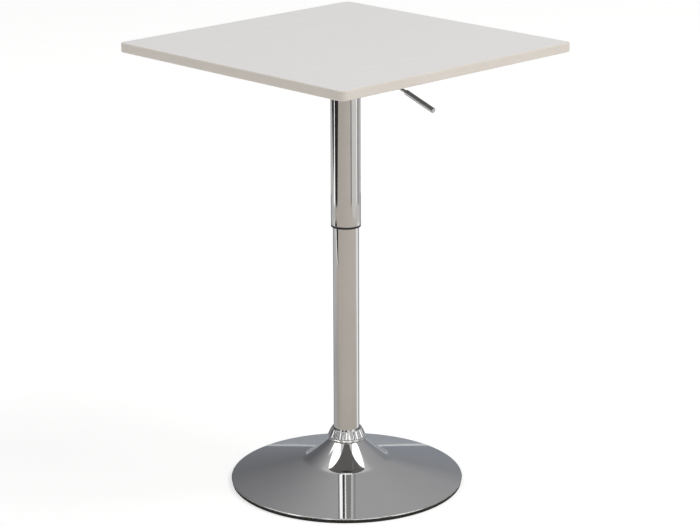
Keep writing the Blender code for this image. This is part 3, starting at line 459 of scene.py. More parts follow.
# --- Mesh helpers
def rounded_outline(corners, steps=6):
    """A closed outline from (radius, height, rounding) corners, with an arc for each rounding.

    A point just outside each end of an arc keeps the straight run beside it flat when shaded."""
    points = []
    for spot, (across, height, rounding) in enumerate(corners):
        corner = Vector((across, height))
        if not rounding:
            points.append(corner)
            continue
        before = Vector(corners[spot - 1][:2]) - corner
        after = Vector(corners[(spot + 1) % len(corners)][:2]) - corner
        back = before.normalized()
        ahead = after.normalized()
        half = before.angle(after) / 2
        reach = rounding / math.tan(half)
        centre = corner + (back + ahead).normalized() * rounding / math.sin(half)
        start = corner + back * reach - centre
        end = corner + ahead * reach - centre
        first = math.atan2(start.y, start.x)
        turn = (math.atan2(end.y, end.x) - first + math.pi) % math.tau - math.pi
        beside = [min(rounding, (side.length - reach) / 3) for side in (before, after)]
        points.append(corner + back * (reach + beside[0]))
        for step in range(steps + 1):
            angle = first + turn * step / steps
            points.append(centre + Vector((math.cos(angle), math.sin(angle))) * rounding)
        points.append(corner + ahead * (reach + beside[1]))
    return [(point[0], point[1]) for point in points]


def curve_through(points, steps):
    """A smooth line through points, as a Catmull-Rom curve."""
    ends = [points[0], *points, points[-1]]
    line = []
    for spot in range(1, len(ends) - 2):
        a, b, c, d = (Vector(ends[spot + offset]) for offset in (-1, 0, 1, 2))
        for step in range(steps):
            t = step / steps
            point = 2 * b + (c - a) * t
            point += (2 * a - 5 * b + 4 * c - d) * t**2
            point += (3 * b - a - 3 * c + d) * t**3
            line.append(tuple(0.5 * point))
    return [*line, points[-1]]


def join_rings(shape, first, second):
    """Faces between two rings of points, either of which may be a single point."""
    count = max(len(first), len(second))
    if count == 1:
        return
    for spot in range(count):
        ahead = (spot + 1) % count
        if len(first) == 1:
            shape.faces.new((first[0], second[ahead], second[spot]))
        elif len(second) == 1:
            shape.faces.new((first[spot], first[ahead], second[0]))
        else:
            shape.faces.new((first[spot], first[ahead], second[ahead], second[spot]))


def turned(outline, steps, vary=None):
    """Spin a closed outline of (radius, height) points about Z.

    vary(radius, height, angle), where given, alters the radius."""
    shape = bmesh.new()
    rings = []
    for radius, height in outline:
        if radius < ON_AXIS:
            rings.append([shape.verts.new((0.0, 0.0, height))])
            continue
        ring = []
        for step in range(steps):
            angle = math.tau * step / steps
            reach = vary(radius, height, angle) if vary else radius
            point = (reach * math.cos(angle), reach * math.sin(angle), height)
            ring.append(shape.verts.new(point))
        rings.append(ring)
    for ring, following in zip(rings, rings[1:] + rings[:1]):
        join_rings(shape, ring, following)
    return shape


def rounded_square(half, radius, corner_steps=16, side_steps=1):
    """Points round a square with rounded corners, anticlockwise from its +X side's end."""
    points = []
    for corner in range(4):
        turn = corner * math.pi / 2
        middle = math.sqrt(2) * (half - radius)
        centre = Vector((math.cos(turn + math.pi / 4), math.sin(turn + math.pi / 4))) * middle
        for step in range(corner_steps + 1):
            angle = turn + step / corner_steps * math.pi / 2
            points.append(centre + Vector((math.cos(angle), math.sin(angle))) * radius)
        end = points[-1]
        along = Vector((math.cos(turn + math.pi), math.sin(turn + math.pi))) * 2 * (half - radius)
        for step in range(1, side_steps):
            points.append(end + along * step / side_steps)
    return points


def swept_square(section, half, corner, caps=False):
    """Sweep (inset, height) points round a rounded square, and cap the two ends if asked."""
    shape = bmesh.new()
    rings = []
    for inset, height in section:
        outline = rounded_square(half + inset, corner + inset)
        rings.append([shape.verts.new((*point, height)) for point in outline])
    for ring, following in zip(rings, rings[1:]):
        join_rings(shape, ring, following)
    if caps:
        shape.faces.new(rings[0])
        shape.faces.new(rings[-1])
    else:
        join_rings(shape, rings[-1], rings[0])
    return shape


def finish_mesh(name, shape, slot):
    """Turn a bmesh into a mesh with its faces pointing out."""
    bmesh.ops.recalc_face_normals(shape, faces=shape.faces)
    mesh = bpy.data.meshes.new(name)
    shape.to_mesh(mesh)
    shape.free()
    mesh.materials.append(FINISHES[slot])
    mesh.shade_smooth()
    mesh.set_sharp_from_angle(angle=SMOOTH_ANGLE)
    return mesh


def add_piece(name, mesh, body, node):
    """A piece that rides on a body and stands for a CAD node."""
    piece = bpy.data.objects.new(name, mesh)
    bpy.context.scene.collection.objects.link(piece)
    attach(piece, body)
    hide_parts(node)


def add_turned(name, outline, steps, slot, body, node):
    """A piece spun from a closed outline."""
    add_piece(name, finish_mesh(name, turned(outline, steps), slot), body, node)


def combine(mesh, other, operation, slot):
    """A mesh cut by or joined with another."""
    item = bpy.data.objects.new("combine_item", mesh)
    guide = bpy.data.objects.new("combine_guide", other)
    for each in (item, guide):
        bpy.context.scene.collection.objects.link(each)
    modifier = item.modifiers.new("combine", "BOOLEAN")
    modifier.object = guide
    modifier.operation = operation
    modifier.solver = "EXACT"
    graph = bpy.context.evaluated_depsgraph_get()
    result = bpy.data.meshes.new_from_object(item.evaluated_get(graph))
    bpy.data.objects.remove(item)
    bpy.data.objects.remove(guide)
    result.materials.clear()
    result.materials.append(FINISHES[slot])
    for face in result.polygons:
        face.material_index = 0
    result.shade_smooth()
    result.set_sharp_from_angle(angle=SMOOTH_ANGLE)
    return result


def block(name, low, high, rounding, slot):
    """A box between two corners with its edges rounded."""
    low, high = Vector(low), Vector(high)
    shape = bmesh.new()
    matrix = Matrix.Translation((low + high) / 2) @ Matrix.Diagonal((*(high - low), 1.0))
    bmesh.ops.create_cube(shape, size=1.0, matrix=matrix)
    edges = shape.edges[:]
    bmesh.ops.bevel(shape, geom=edges, offset=rounding, segments=4, profile=0.5, affect="EDGES")
    return finish_mesh(name, shape, slot)


# --- Base
def dish_line():
    """The outer line of the base from the rim up to its neck, as (radius, height)."""
    rim_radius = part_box("base_dish")[1].x
    cone_steps = 14
    curve_steps = 16
    points = []
    for step in range(1, cone_steps + 1):
        radius = rim_radius + (FILLET_START - rim_radius) * step / cone_steps
        points.append((radius, RIM_HEIGHT + (rim_radius - radius) * math.tan(DISH_SLOPE)))
    neck_start = FILLET_START - FILLET_RADIUS * (math.sin(NECK_SLOPE) - math.sin(DISH_SLOPE))
    neck_end = math.asin(math.sin(NECK_SLOPE) + (neck_start - NECK_RADIUS) / NECK_CURVE_RADIUS)
    curves = (
        (FILLET_RADIUS, DISH_SLOPE, NECK_SLOPE),
        (NECK_CURVE_RADIUS, NECK_SLOPE, neck_end),
    )
    for radius, start, end in curves:
        from_radius, from_height = points[-1]
        for step in range(1, curve_steps + 1):
            angle = start + (end - start) * step / curve_steps
            across = from_radius - radius * (math.sin(angle) - math.sin(start))
            points.append((across, from_height + radius * (math.cos(start) - math.cos(angle))))
    return points


def make_base_dish():
    """The pressed and plated shell, with a rolled rim and a turned-in lip round the column."""
    low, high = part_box("base_dish")
    rim = high.x
    hem = 0.0055  # how far the rolled hem reaches in
    line = dish_line()
    neck_radius, neck_height = line[-1]
    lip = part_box("column_tube")[1].x + 2 * GAP
    run = 0.004  # from the rim to where the rolled part ends
    slope_rise = run * math.tan(DISH_SLOPE)
    rolled = rounded_outline(
        [
            (rim - hem, low.z, EDGE),
            (rim, low.z, SOFT_EDGE),
            (rim, RIM_HEIGHT, RIM_ROUNDING),
            (rim - run, RIM_HEIGHT + slope_rise, 0.0),
            (rim - hem, RIM_HEIGHT + slope_rise - DISH_SHEET, 0.0),
        ]
    )[:-1]
    inner = [(radius - DISH_SHEET / 2, height - DISH_SHEET) for radius, height in line[:-1]]
    outline = [
        *rolled,
        *line,
        (lip, neck_height),
        (lip, neck_height - DISH_SHEET),
        (neck_radius - DISH_SHEET, neck_height - DISH_SHEET),
        *reversed(inner),
        (rim - hem, RIM_HEIGHT),
    ]
    add_turned("base_shell", outline, FINE, "chrome", "base", "base_dish")


def make_collar():
    """The ring on the neck: a plain bead, a groove, and a fluted band with a rounded shoulder."""
    low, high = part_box("base_collar")
    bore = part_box("column_tube")[1].x + GAP
    line = curve_through([*COLLAR, (COLLAR_LIP, high.z - low.z)], steps=4)

    def fluted(radius, height, angle):
        """The radius with the flutes pressed in."""
        share = (height - low.z - FLUTE_LOW) / (FLUTE_HIGH - FLUTE_LOW)
        if not 0 < share < 1:
            return radius
        depth = FLUTE_DEPTH * min(1.0, FLUTE_FADE * math.sin(math.pi * share))
        return radius - depth * (0.5 - 0.5 * math.cos(FLUTES * angle)) ** FLUTE_ROUNDNESS

    outline = [
        (bore, low.z),
        *((radius, low.z + height) for radius, height in line),
        (bore + SOFT_EDGE, high.z),
        (bore, high.z - SOFT_EDGE),
    ]
    shape = turned(outline, FLUTE_STEPS * FLUTES, fluted)
    mesh = finish_mesh("fluted_collar", shape, "chrome")
    add_piece("fluted_collar", mesh, "base", "base_collar")


def make_floor_ring():
    """The rubber foot ring, with two fine grooves in the face it stands on."""
    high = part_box("floor_ring")[1]
    inner = 0.212
    outer = high.x
    groove = 0.0009  # half its width, and its depth
    groove_lip = 0.0003
    groove_bed = 0.0002
    corners = [(inner, 0.0, SOFT_EDGE)]
    for share in (0.33, 0.66):
        middle = inner + (outer - inner) * share
        corners += [
            (middle - groove, 0.0, groove_lip),
            (middle - groove / 2, groove, groove_bed),
            (middle + groove / 2, groove, groove_bed),
            (middle + groove, 0.0, groove_lip),
        ]
    corners += [(outer, 0.0, 3 * EDGE), (outer, high.z, EDGE), (inner, high.z, EDGE)]
    outline = rounded_outline(corners, 4)
    add_turned("foot_ring", outline, FINE, "rubber", "base", "floor_ring")


def make_bottom_cover():
    """The sheet under the base, with its bolt hole and two pressed stiffening rings."""
    low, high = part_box("bottom_cover")
    hole = 0.024
    rings = ((0.070, 0.078), (0.158, 0.168))
    press = 0.0012
    shoulder = 0.003
    bend = 0.0015
    line = [(hole, 0.0, EDGE)]
    for inner, outer in rings:
        line += [
            (inner - shoulder, 0.0, bend),
            (inner, -press, bend),
            (outer, -press, bend),
            (outer + shoulder, 0.0, bend),
        ]
    line.append((high.x, 0.0, EDGE))
    corners = [(radius, low.z + rise, rounding) for radius, rise, rounding in line]
    corners += [(radius, high.z + rise, rounding) for radius, rise, rounding in reversed(line)]
    outline = rounded_outline(corners, 4)
    add_turned("under_cover", outline, FINE, "black_steel", "base", "bottom_cover")


def make_base_bolt():
    """A chamfered hexagon head on its shank, and the washer under it."""
    low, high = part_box("base_bolt")
    washer_low, washer_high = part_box("base_washer")
    head_top = washer_low.z - GAP
    apothem = high.x * math.cos(math.pi / 6)
    face = 0.94 * apothem
    shank = 0.0079
    point = 0.001
    chamfer = math.tan(math.radians(30))
    steps = 96
    shape = bmesh.new()

    def hexagon(angle):
        """The hexagon's radius in a direction."""
        offset = (angle + math.pi / 6) % (math.pi / 3) - math.pi / 6
        return apothem / math.cos(offset)

    def ring(radius_at, height_at):
        """A ring of points whose radius and height depend on the direction."""
        points = []
        for step in range(steps):
            angle = math.tau * step / steps
            radius = radius_at(angle)
            flat = (radius * math.cos(angle), radius * math.sin(angle))
            points.append(shape.verts.new((*flat, height_at(angle))))
        return points

    rings = [
        [shape.verts.new((0.0, 0.0, low.z))],
        ring(lambda angle: face, lambda angle: low.z),
        ring(hexagon, lambda angle: low.z + (hexagon(angle) - face) * chamfer),
        ring(hexagon, lambda angle: head_top),
        ring(lambda angle: shank, lambda angle: head_top),
        ring(lambda angle: shank, lambda angle: high.z - point),
        ring(lambda angle: shank - point, lambda angle: high.z),
        [shape.verts.new((0.0, 0.0, high.z))],
    ]
    for first, second in zip(rings, rings[1:]):
        join_rings(shape, first, second)
    mesh = finish_mesh("foot_bolt", shape, "steel")
    add_piece("foot_bolt", mesh, "base", "base_bolt")
    hole = 0.0083
    corners = [
        (hole, washer_low.z, EDGE),
        (washer_high.x, washer_low.z, EDGE),
        (washer_high.x, washer_high.z, EDGE),
        (hole, washer_high.z, EDGE),
    ]
    outline = rounded_outline(corners, 3)
    add_turned("foot_washer", outline, SMALL_ROUND, "steel", "base", "base_washer")


# --- Column and sleeve
def make_tube(name, node, wall, body):
    """A plated tube with its ends' edges broken."""
    low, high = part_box(node)
    outer = high.x
    corners = [
        (outer - wall, low.z, EDGE),
        (outer, low.z, EDGE),
        (outer, high.z, EDGE),
        (outer - wall, high.z, EDGE),
    ]
    add_turned(name, rounded_outline(corners, 4), ROUND, "chrome", body, node)


def make_sleeve_ring():
    """The black guide ring pushed into the sleeve's lower end."""
    low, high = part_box("sleeve_ring")
    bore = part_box("column_tube")[1].x + GAP
    spigot = high.x - SLEEVE_WALL - GAP
    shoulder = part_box("column_sleeve")[0].z - GAP
    foot_edge = 0.0005
    corners = [
        (bore, low.z, foot_edge),
        (high.x, low.z, 2 * EDGE),
        (high.x, shoulder, SOFT_EDGE / 2),
        (spigot, shoulder, 0.0),
        (spigot, high.z, EDGE),
        (bore, high.z, EDGE),
    ]
    outline = rounded_outline(corners, 5)
    add_turned("guide_ring", outline, ROUND, "black_plastic", "lift", "sleeve_ring")


# --- Top
def make_top():
    """The laminate face and the edging with its rounded arrises."""
    low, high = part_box("edge_band")
    half = high.x
    arc_steps = 10
    section = [(-EDGE_BAND, low.z)]
    for height, start in ((low.z + TOP_ARRIS, -math.pi / 2), (high.z - TOP_ARRIS, 0.0)):
        for step in range(arc_steps + 1):
            angle = start + step / arc_steps * math.pi / 2
            inset = TOP_ARRIS * (math.cos(angle) - 1)
            section.append((inset, height + TOP_ARRIS * math.sin(angle)))
    section.append((-EDGE_BAND, high.z))
    band = finish_mesh("top_edging", swept_square(section, half, TOP_CORNER), "edging")
    add_piece("top_edging", band, "lift", "edge_band")
    face_low, face_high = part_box("top_laminate")
    break_edge = 0.0002
    face_section = [
        (0.0, face_low.z),
        (0.0, face_high.z - break_edge),
        (-break_edge / 3, face_high.z - break_edge / 3),
        (-break_edge, face_high.z),
        (-4 * break_edge, face_high.z),
    ]
    inner = EDGE_BAND + HAIRLINE
    shape = swept_square(face_section, half - inner, TOP_CORNER - inner, caps=True)
    face = finish_mesh("top_face", shape, "laminate")
    add_piece("top_face", face, "lift", "top_laminate")


# --- Mechanism plate
def lever_pivot():
    """The place of the lever's pin."""
    return next(joint for joint in frame["joints"] if joint["name"] == "lever_lift")["pos_m"]


def make_mechanism_plate():
    """A square flange pressed down to a round pan, with a slot in the pan's wall for the lever."""
    low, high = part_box("mechanism_plate")
    flange = high.z - PLATE_SHEET
    tight_bend = 0.003
    bend = 0.004
    wide_bend = bend + PLATE_SHEET / 2
    flat = 0.070
    edge = SOFT_EDGE
    far_below = 1.0

    def pressed(radius, floor, top, inner_bend, outer_bend):
        """One skin of the pan from the hub hole out to the flat flange."""
        corners = [
            (HUB_HOLE, floor, 0.0),
            (radius, floor, inner_bend),
            (radius, top, outer_bend),
            (flat, top, 0.0),
            (flat, floor - far_below, 0.0),
        ]
        return rounded_outline(corners)[:-1]

    under = pressed(PAN_RADIUS, low.z, flange, wide_bend, bend)
    inside = PAN_RADIUS - PLATE_SHEET
    over = pressed(inside, low.z + PLATE_SHEET, high.z, tight_bend, wide_bend)
    square = rounded_square(high.x, PLATE_CORNER, CORNER_STEPS, SIDE_STEPS)
    shape = bmesh.new()

    def round_ring(radius, height):
        """A ring in the directions of the square's points."""
        return [shape.verts.new((*(point.normalized() * radius), height)) for point in square]

    def square_ring(inset, height):
        """A ring along the square's outline."""
        half = high.x - inset
        outline = rounded_square(half, PLATE_CORNER - inset, CORNER_STEPS, SIDE_STEPS)
        return [shape.verts.new((*point, height)) for point in outline]

    rings = [round_ring(*point) for point in under]
    rings += [
        square_ring(2 * edge, flange),
        square_ring(edge, flange),
        square_ring(MID_EDGE * edge, flange + MID_EDGE * edge),
        square_ring(0.0, flange + edge),
        square_ring(0.0, high.z - edge),
        square_ring(MID_EDGE * edge, high.z - MID_EDGE * edge),
        square_ring(edge, high.z),
        square_ring(2 * edge, high.z),
    ]
    rings += [round_ring(*point) for point in reversed(over)]
    for first, second in zip(rings, rings[1:] + rings[:1]):
        join_rings(shape, first, second)
    plate = finish_mesh("lift_plate", shape, "black_steel")
    pivot_height = lever_pivot()[2]
    slot_half = 0.006
    slot_outer = -PAN_RADIUS - 0.010
    slot_inner = -PAN_RADIUS + 0.012
    slot_bottom = pivot_height - 0.0085
    slot_top = pivot_height + 0.0065
    slot_rounding = 0.002
    slot = block(
        "lever_slot",
        (-slot_half, slot_outer, slot_bottom),
        (slot_half, slot_inner, slot_top),
        slot_rounding,
        "black_steel",
    )
    plate = combine(plate, slot, "DIFFERENCE", "black_steel")
    add_piece("lift_plate", plate, "lift", "mechanism_plate")


def make_plate_screw(number):
    """A domed wood screw with a cross recess."""
    node = f"plate_screw_{number}"
    low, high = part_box(node)
    head = (high.x - low.x) / 2
    head_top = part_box("mechanism_plate")[1].z - PLATE_SHEET - GAP
    dome = 0.0022
    shank = 0.0020
    tip = 0.0025
    turn = 0.7 * number
    corners = [
        (0.0, low.z, 0.0),
        (head, low.z, dome),
        (head, head_top, SOFT_EDGE / 2),
        (shank, head_top, 0.0),
        (shank, high.z - tip, 0.0),
        (0.0, high.z, 0.0),
    ]
    mesh = finish_mesh(node, turned(rounded_outline(corners), SMALL_ROUND), "steel")
    reach = 0.0019
    width = 0.00045
    depth = 0.0016
    for long_x, long_y in ((reach, width), (width, reach)):
        arm = block(
            "recess_arm",
            (-long_x, -long_y, low.z - depth),
            (long_x, long_y, low.z + depth),
            width / 3,
            "steel",
        )
        mesh = combine(mesh, arm, "DIFFERENCE", "steel")
    place = Vector(((low.x + high.x) / 2, (low.y + high.y) / 2, 0.0))
    mesh.transform(Matrix.Translation(place) @ Matrix.Rotation(turn, 4, "Z"))
    add_piece(f"flange_screw_{number}", mesh, "lift", node)


# --- Lever
def lever_point(pivot, y):
    """The point of the lever's centre line at a distance along Y."""
    straight = (max(y, LEVER_BEND_Y) - pivot.y) * math.tan(LEVER_SLOPE)
    bent = min(y - LEVER_BEND_Y, 0.0) * math.tan(GRIP_SLOPE)
    return Vector((0.0, y, pivot.z + straight + bent))


def bent_rod(path, radius, break_edge):
    """A round rod along a path in the YZ plane, its ends' edges broken."""
    first = (path[1] - path[0]).normalized()
    last = (path[-1] - path[-2]).normalized()
    stations = [
        (path[0], first, radius - break_edge),
        (path[0] + first * MID_EDGE * break_edge, first, radius - MID_EDGE * break_edge),
        (path[0] + first * break_edge, first, radius),
    ]
    for before, point, after in zip(path, path[1:], path[2:]):
        stations.append((point, (after - before).normalized(), radius))
    stations += [
        (path[-1] - last * break_edge, last, radius),
        (path[-1] - last * MID_EDGE * break_edge, last, radius - MID_EDGE * break_edge),
        (path[-1], last, radius - break_edge),
    ]
    shape = bmesh.new()
    sideways = Vector((1.0, 0.0, 0.0))
    rings = [[shape.verts.new(path[0])]]
    for centre, direction, reach in stations:
        upward = sideways.cross(direction)
        angles = [math.tau * step / SMALL_ROUND for step in range(SMALL_ROUND)]
        around = [sideways * math.cos(angle) + upward * math.sin(angle) for angle in angles]
        rings.append([shape.verts.new(centre + way * reach) for way in around])
    rings.append([shape.verts.new(path[-1])])
    for ring, following in zip(rings, rings[1:]):
        join_rings(shape, ring, following)
    return shape


def make_lever_shaft(pivot):
    """The lever's rod, bent a little before the grip, with its pivot barrel."""
    low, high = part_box("lever_rod")
    inner = high.y - LEVER_ROD_RADIUS * math.sin(LEVER_SLOPE)
    outer = low.y + LEVER_ROD_RADIUS * math.sin(GRIP_SLOPE)
    bend = lever_point(pivot, LEVER_BEND_Y)
    start = lever_point(pivot, inner)
    end = lever_point(pivot, outer)
    curve_reach = 0.012  # each side of the bend
    enter = bend + (start - bend).normalized() * curve_reach
    leave = bend + (end - bend).normalized() * curve_reach
    steps = 8
    shares = [step / steps for step in range(steps + 1)]
    curve = [enter * (1 - t) ** 2 + bend * 2 * t * (1 - t) + leave * t**2 for t in shares]
    shape = bent_rod([start, *curve, end], LEVER_ROD_RADIUS, 2 * EDGE)
    rod = finish_mesh("lever_shaft", shape, "chrome")
    barrel_radius = 0.0048
    barrel_half = 0.0042
    hole = 0.0021
    far = 0.01  # beyond the barrel's ends
    corners = [
        (hole, -barrel_half, 0.0),
        (barrel_radius, -barrel_half, SOFT_EDGE),
        (barrel_radius, barrel_half, SOFT_EDGE),
        (hole, barrel_half, 0.0),
    ]
    across = Matrix.Translation(pivot) @ Matrix.Rotation(math.pi / 2, 4, "Y")
    barrel = finish_mesh("lever_barrel", turned(rounded_outline(corners), SMALL_ROUND), "chrome")
    core = [(0.0, -far), (hole, -far), (hole, far), (0.0, far)]
    bore = finish_mesh("lever_bore", turned(core, SMALL_ROUND), "chrome")
    for mesh in (barrel, bore):
        mesh.transform(across)
    rod = combine(rod, barrel, "UNION", "chrome")
    rod = combine(rod, bore, "DIFFERENCE", "chrome")
    add_piece("lever_shaft", rod, "lever", "lever_rod")
    return end


def make_lever_handle(pivot, rod_end):
    """The grip pushed over the rod's outer end."""
    low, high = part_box("lever_grip")
    edge = 0.0007
    lean = (LEVER_GRIP_RADIUS - edge) * math.sin(GRIP_SLOPE)
    start = lever_point(pivot, high.y - lean)
    axis = lever_point(pivot, low.y + lean) - start
    bore_radius = LEVER_ROD_RADIUS + 2 * HAIRLINE
    bore_end = (rod_end - start).length + GAP
    corners = [
        (bore_radius, 0.0, SOFT_EDGE / 2),
        (LEVER_GRIP_RADIUS, 0.0, edge),
        (LEVER_GRIP_RADIUS, axis.length, edge),
        (0.0, axis.length, 0.0),
        (0.0, bore_end, 0.0),
        (bore_radius, bore_end, 0.0),
    ]
    grip = finish_mesh("lever_handle", turned(rounded_outline(corners), SMALL_ROUND), "chrome")
    grip.transform(Matrix.Translation(start) @ axis.to_track_quat("Z", "Y").to_matrix().to_4x4())
    add_piece("lever_handle", grip, "lever", "lever_grip")


def make_lever():
    """The lever: its rod and its grip."""
    pivot = Vector(lever_pivot())
    make_lever_handle(pivot, make_lever_shaft(pivot))


# --- Carried-over CAD nodes
def dress_cad_nodes():
    """Give the CAD nodes that stay the finish of their slot."""
    for node in frame["nodes"].values():
        for spot in node.material_slots:
            spot.material = FINISHES[spot.material.name.split(".")[0]]


# --- Studio
def studio_point(azimuth, elevation, distance):
    """A point seen from the table's middle: azimuth 0 is the camera's side and 90 its right."""
    azimuth, elevation = math.radians(azimuth), math.radians(elevation)
    near = Vector((-math.sin(CAMERA_AZIMUTH), -math.cos(CAMERA_AZIMUTH), 0.0))
    right = Vector((math.cos(CAMERA_AZIMUTH), -math.sin(CAMERA_AZIMUTH), 0.0))
    level = near * math.cos(azimuth) + right * math.sin(azimuth)
    middle = Vector((0.0, 0.0, (CAD_LOW.z + CAD_HIGH.z) / 2))
    return middle + distance * (level * math.cos(elevation) + Vector((0, 0, math.sin(elevation))))


def add_softbox(name, azimuth, elevation, size, radiance, colour):
    """A rectangular soft light that faces the table; what the chrome reflects is in the world."""
    light = bpy.data.lights.new(name, "AREA")
    light.shape = "RECTANGLE"
    light.size, light.size_y = size
    light.energy = radiance * math.pi * size[0] * size[1]
    light.color = colour
    item = bpy.data.objects.new(name, light)
    bpy.context.scene.collection.objects.link(item)
    item.location = studio_point(azimuth, elevation, SOFTBOX_DISTANCE)
    aim = Vector((0.0, 0.0, CAD_HIGH.z / 2)) - item.location
    item.rotation_euler = aim.to_track_quat("-Z", "Y").to_euler()
    item.visible_camera = False
    item.visible_glossy = False


def add_stage_mesh(name, points, material):
    """A flat stage piece through points."""
    shape = bmesh.new()
    shape.faces.new([shape.verts.new(point) for point in points])
    bmesh.ops.recalc_face_normals(shape, faces=shape.faces)
    mesh = bpy.data.meshes.new(name)
    shape.to_mesh(mesh)
    shape.free()
    mesh.materials.append(material)
    item = bpy.data.objects.new(name, mesh)
    bpy.context.scene.collection.objects.link(item)
    return item


def only_in_reflections(item):
    """Let a stage piece show in glossy surfaces alone."""
    item.visible_camera = False
    item.visible_diffuse = False
    item.visible_shadow = False
    item.visible_transmission = False


def paper_material(name, colour, glow, seen_from_below):
    """Matt paper with a faint tooth and a glow of its own, clear from below where asked."""
    material, tree = new_finish(name, specular=0.1)
    shader = tree.nodes["Principled BSDF"]
    tooth = grain(tree, 6.0, detail=3.0)
    shade = tuple(0.985 * value for value in colour)
    shader.inputs["Roughness"].default_value = 0.9
    shader.inputs["Emission Color"].default_value = rgba(colour)
    shader.inputs["Emission Strength"].default_value = glow
    tree.links.new(blend_colours(tree, tooth, colour, shade), shader.inputs["Base Color"])
    if not seen_from_below:
        side = add_node(tree, "ShaderNodeNewGeometry").outputs["Backfacing"]
        clear = add_node(tree, "ShaderNodeBsdfTransparent").outputs["BSDF"]
        mix = add_node(tree, "ShaderNodeMixShader", {0: side, 1: shader.outputs["BSDF"], 2: clear})
        output = tree.nodes["Material Output"]
        tree.links.new(mix.outputs["Shader"], output.inputs["Surface"])
    return material


def add_card(name, reach, colour, drop, glow=0.0):
    """A matt card through (azimuth, distance) points just under the floor, for the chrome alone."""
    points = []
    for azimuth, distance in reach:
        point = studio_point(azimuth, 0.0, distance)
        points.append((point.x, point.y, -drop))
    only_in_reflections(add_stage_mesh(name, points, paper_material(name, colour, glow, True)))


def make_floor():
    """The pale floor, and the papers and cards under it that the chrome reflects."""
    sides = 96
    rim = []
    for step in range(sides):
        angle = math.tau * step / sides
        rim.append((FLOOR_RADIUS * math.cos(angle), FLOOR_RADIUS * math.sin(angle), 0.0))
    material = paper_material("pale_floor", FLOOR_COLOUR, FLOOR_GLOW, False)
    floor = add_stage_mesh("floor", rim, material)
    floor.visible_glossy = False
    for name, (first, last, step), reach, colour, share in PAPERS:
        arc = [(azimuth, reach) for azimuth in range(first, last + 1, step)]
        add_card(name, ((0.0, 0.0), *arc), colour, share * PAPER_DROP)
    for number, (name, reach, colour, glow) in enumerate(CARDS, 1):
        drop = PAPER_DROP / 2 * (1 - number / (2 * len(CARDS)))
        add_card(name, reach, colour, drop, glow)


def stage_direction(azimuth, elevation):
    """The direction of a place in the studio."""
    return (studio_point(azimuth, elevation, 1.0) - studio_point(0, 0, 0.0)).normalized()


def toward(tree, direction, azimuth, elevation):
    """How nearly a direction points to a place in the studio."""
    aim = stage_direction(azimuth, elevation)
    inputs = {0: direction, 1: aim}
    product = add_node(tree, "ShaderNodeVectorMath", inputs, operation="DOT_PRODUCT")
    return product.outputs["Value"]


def window(tree, direction, azimuth, elevation, half_width, half_height):
    """A soft-edged rectangle of light; its half sizes are tangents of angles."""
    ahead = toward(tree, direction, azimuth, elevation)
    across = toward(tree, direction, azimuth + 90, 0)
    above = toward(tree, direction, azimuth, elevation + 90)
    mask = spread(tree, ahead, 0.0, 1.0, 0.0, 0.02)
    for offset, half in ((across, half_width), (above, half_height)):
        share = add_math(tree, "DIVIDE", offset, ahead)
        size = add_math(tree, "ABSOLUTE", share)
        inside = spread(tree, size, 1.0, 0.0, half - WINDOW_SOFTNESS, half + WINDOW_SOFTNESS)
        mask = add_math(tree, "MULTIPLY", mask, inside)
    return mask


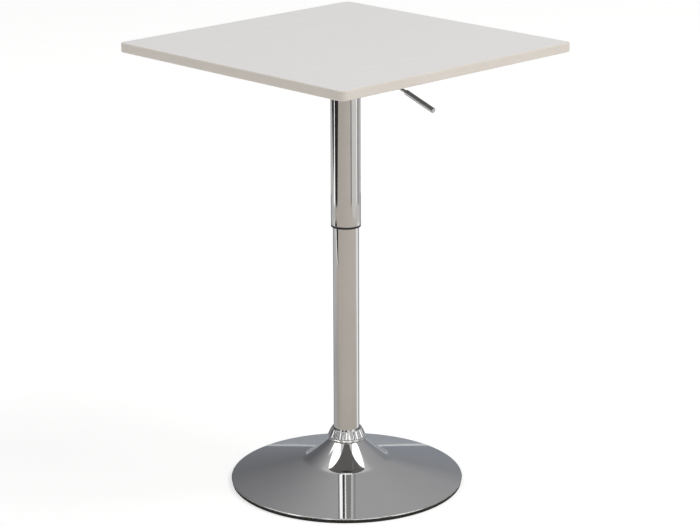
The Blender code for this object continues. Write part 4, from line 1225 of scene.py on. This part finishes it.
def make_world():
    """Even light on matt surfaces, and what the chrome reflects: a grey room with windows."""
    world = bpy.data.worlds.new("studio")
    bpy.context.scene.world = world
    world.use_nodes = True
    tree = world.node_tree
    ground = tree.nodes["Background"]
    direction = add_node(tree, "ShaderNodeTexCoord").outputs["Generated"]
    height = add_node(tree, "ShaderNodeSeparateXYZ", {0: direction}).outputs["Z"]
    ramp = add_node(tree, "ShaderNodeValToRGB", {0: spread(tree, height, 0.0, 1.0, -1.0, 1.0)})
    elements = ramp.color_ramp.elements
    while len(elements) < len(ROOM):
        elements.new(0.5)
    for element, (level, colour) in zip(elements, ROOM):
        element.position = (level + 1) / 2
        element.color = rgba(colour)
    rear = toward(tree, direction, *REAR_SHADE)
    shade = spread(tree, rear, 0.0, REAR_SHADE_STRENGTH, *REAR_SHADE_REACH)
    studio = blend_colours(tree, shade, ramp.outputs["Color"], REAR_SHADE_COLOUR)
    for name, azimuth, elevation, half_width, half_height, radiance in WINDOWS:
        mask = window(tree, direction, azimuth, elevation, half_width, half_height)
        mask.node.label = name
        studio = blend_colours(tree, mask, studio, (radiance, radiance, radiance))
    left = spread(tree, toward(tree, direction, *LEFT_SHADE), 0.0, 1.0, *LEFT_SHADE_REACH)
    ambient = blend_colours(tree, left, AMBIENT, AMBIENT_LEFT)
    path = add_node(tree, "ShaderNodeLightPath")
    lit = blend_colours(tree, path.outputs["Is Glossy Ray"], ambient, studio)
    seen = blend_colours(tree, path.outputs["Is Camera Ray"], lit, BACKGROUND)
    tree.links.new(seen, ground.inputs["Color"])


def make_lights():
    """Two large softboxes at the sides and one overhead."""
    for softbox in SOFTBOXES:
        add_softbox(*softbox)


def make_camera():
    """A long lens a little above the table's height, turned towards it."""
    data = bpy.data.cameras.new("camera")
    data.lens = CAMERA_LENS
    data.sensor_width = CAMERA_SENSOR
    data.shift_x = CAMERA_SHIFT
    data.clip_end = 4 * FLOOR_RADIUS
    camera = bpy.data.objects.new("camera", data)
    bpy.context.scene.collection.objects.link(camera)
    level = math.pi / 2
    turns = (
        Matrix.Rotation(-CAMERA_HEADING, 4, "Z"),
        Matrix.Rotation(level - CAMERA_TILT, 4, "X"),
        Matrix.Rotation(-CAMERA_ROLL, 4, "Z"),
    )
    camera.matrix_world = Matrix.Translation(CAMERA_PLACE) @ turns[0] @ turns[1] @ turns[2]
    bpy.context.scene.camera = camera


# --- Assembly
make_base_dish()
make_collar()
make_floor_ring()
make_bottom_cover()
make_base_bolt()
make_tube("lower_column", "column_tube", COLUMN_WALL, "base")
make_tube("cover_sleeve", "column_sleeve", SLEEVE_WALL, "lift")
make_sleeve_ring()
make_top()
make_mechanism_plate()
for screw_number in range(1, 5):
    make_plate_screw(screw_number)
make_lever()
dress_cad_nodes()
make_floor()
make_world()
make_lights()
make_camera()
bpy.context.scene.view_settings.view_transform = "Standard"
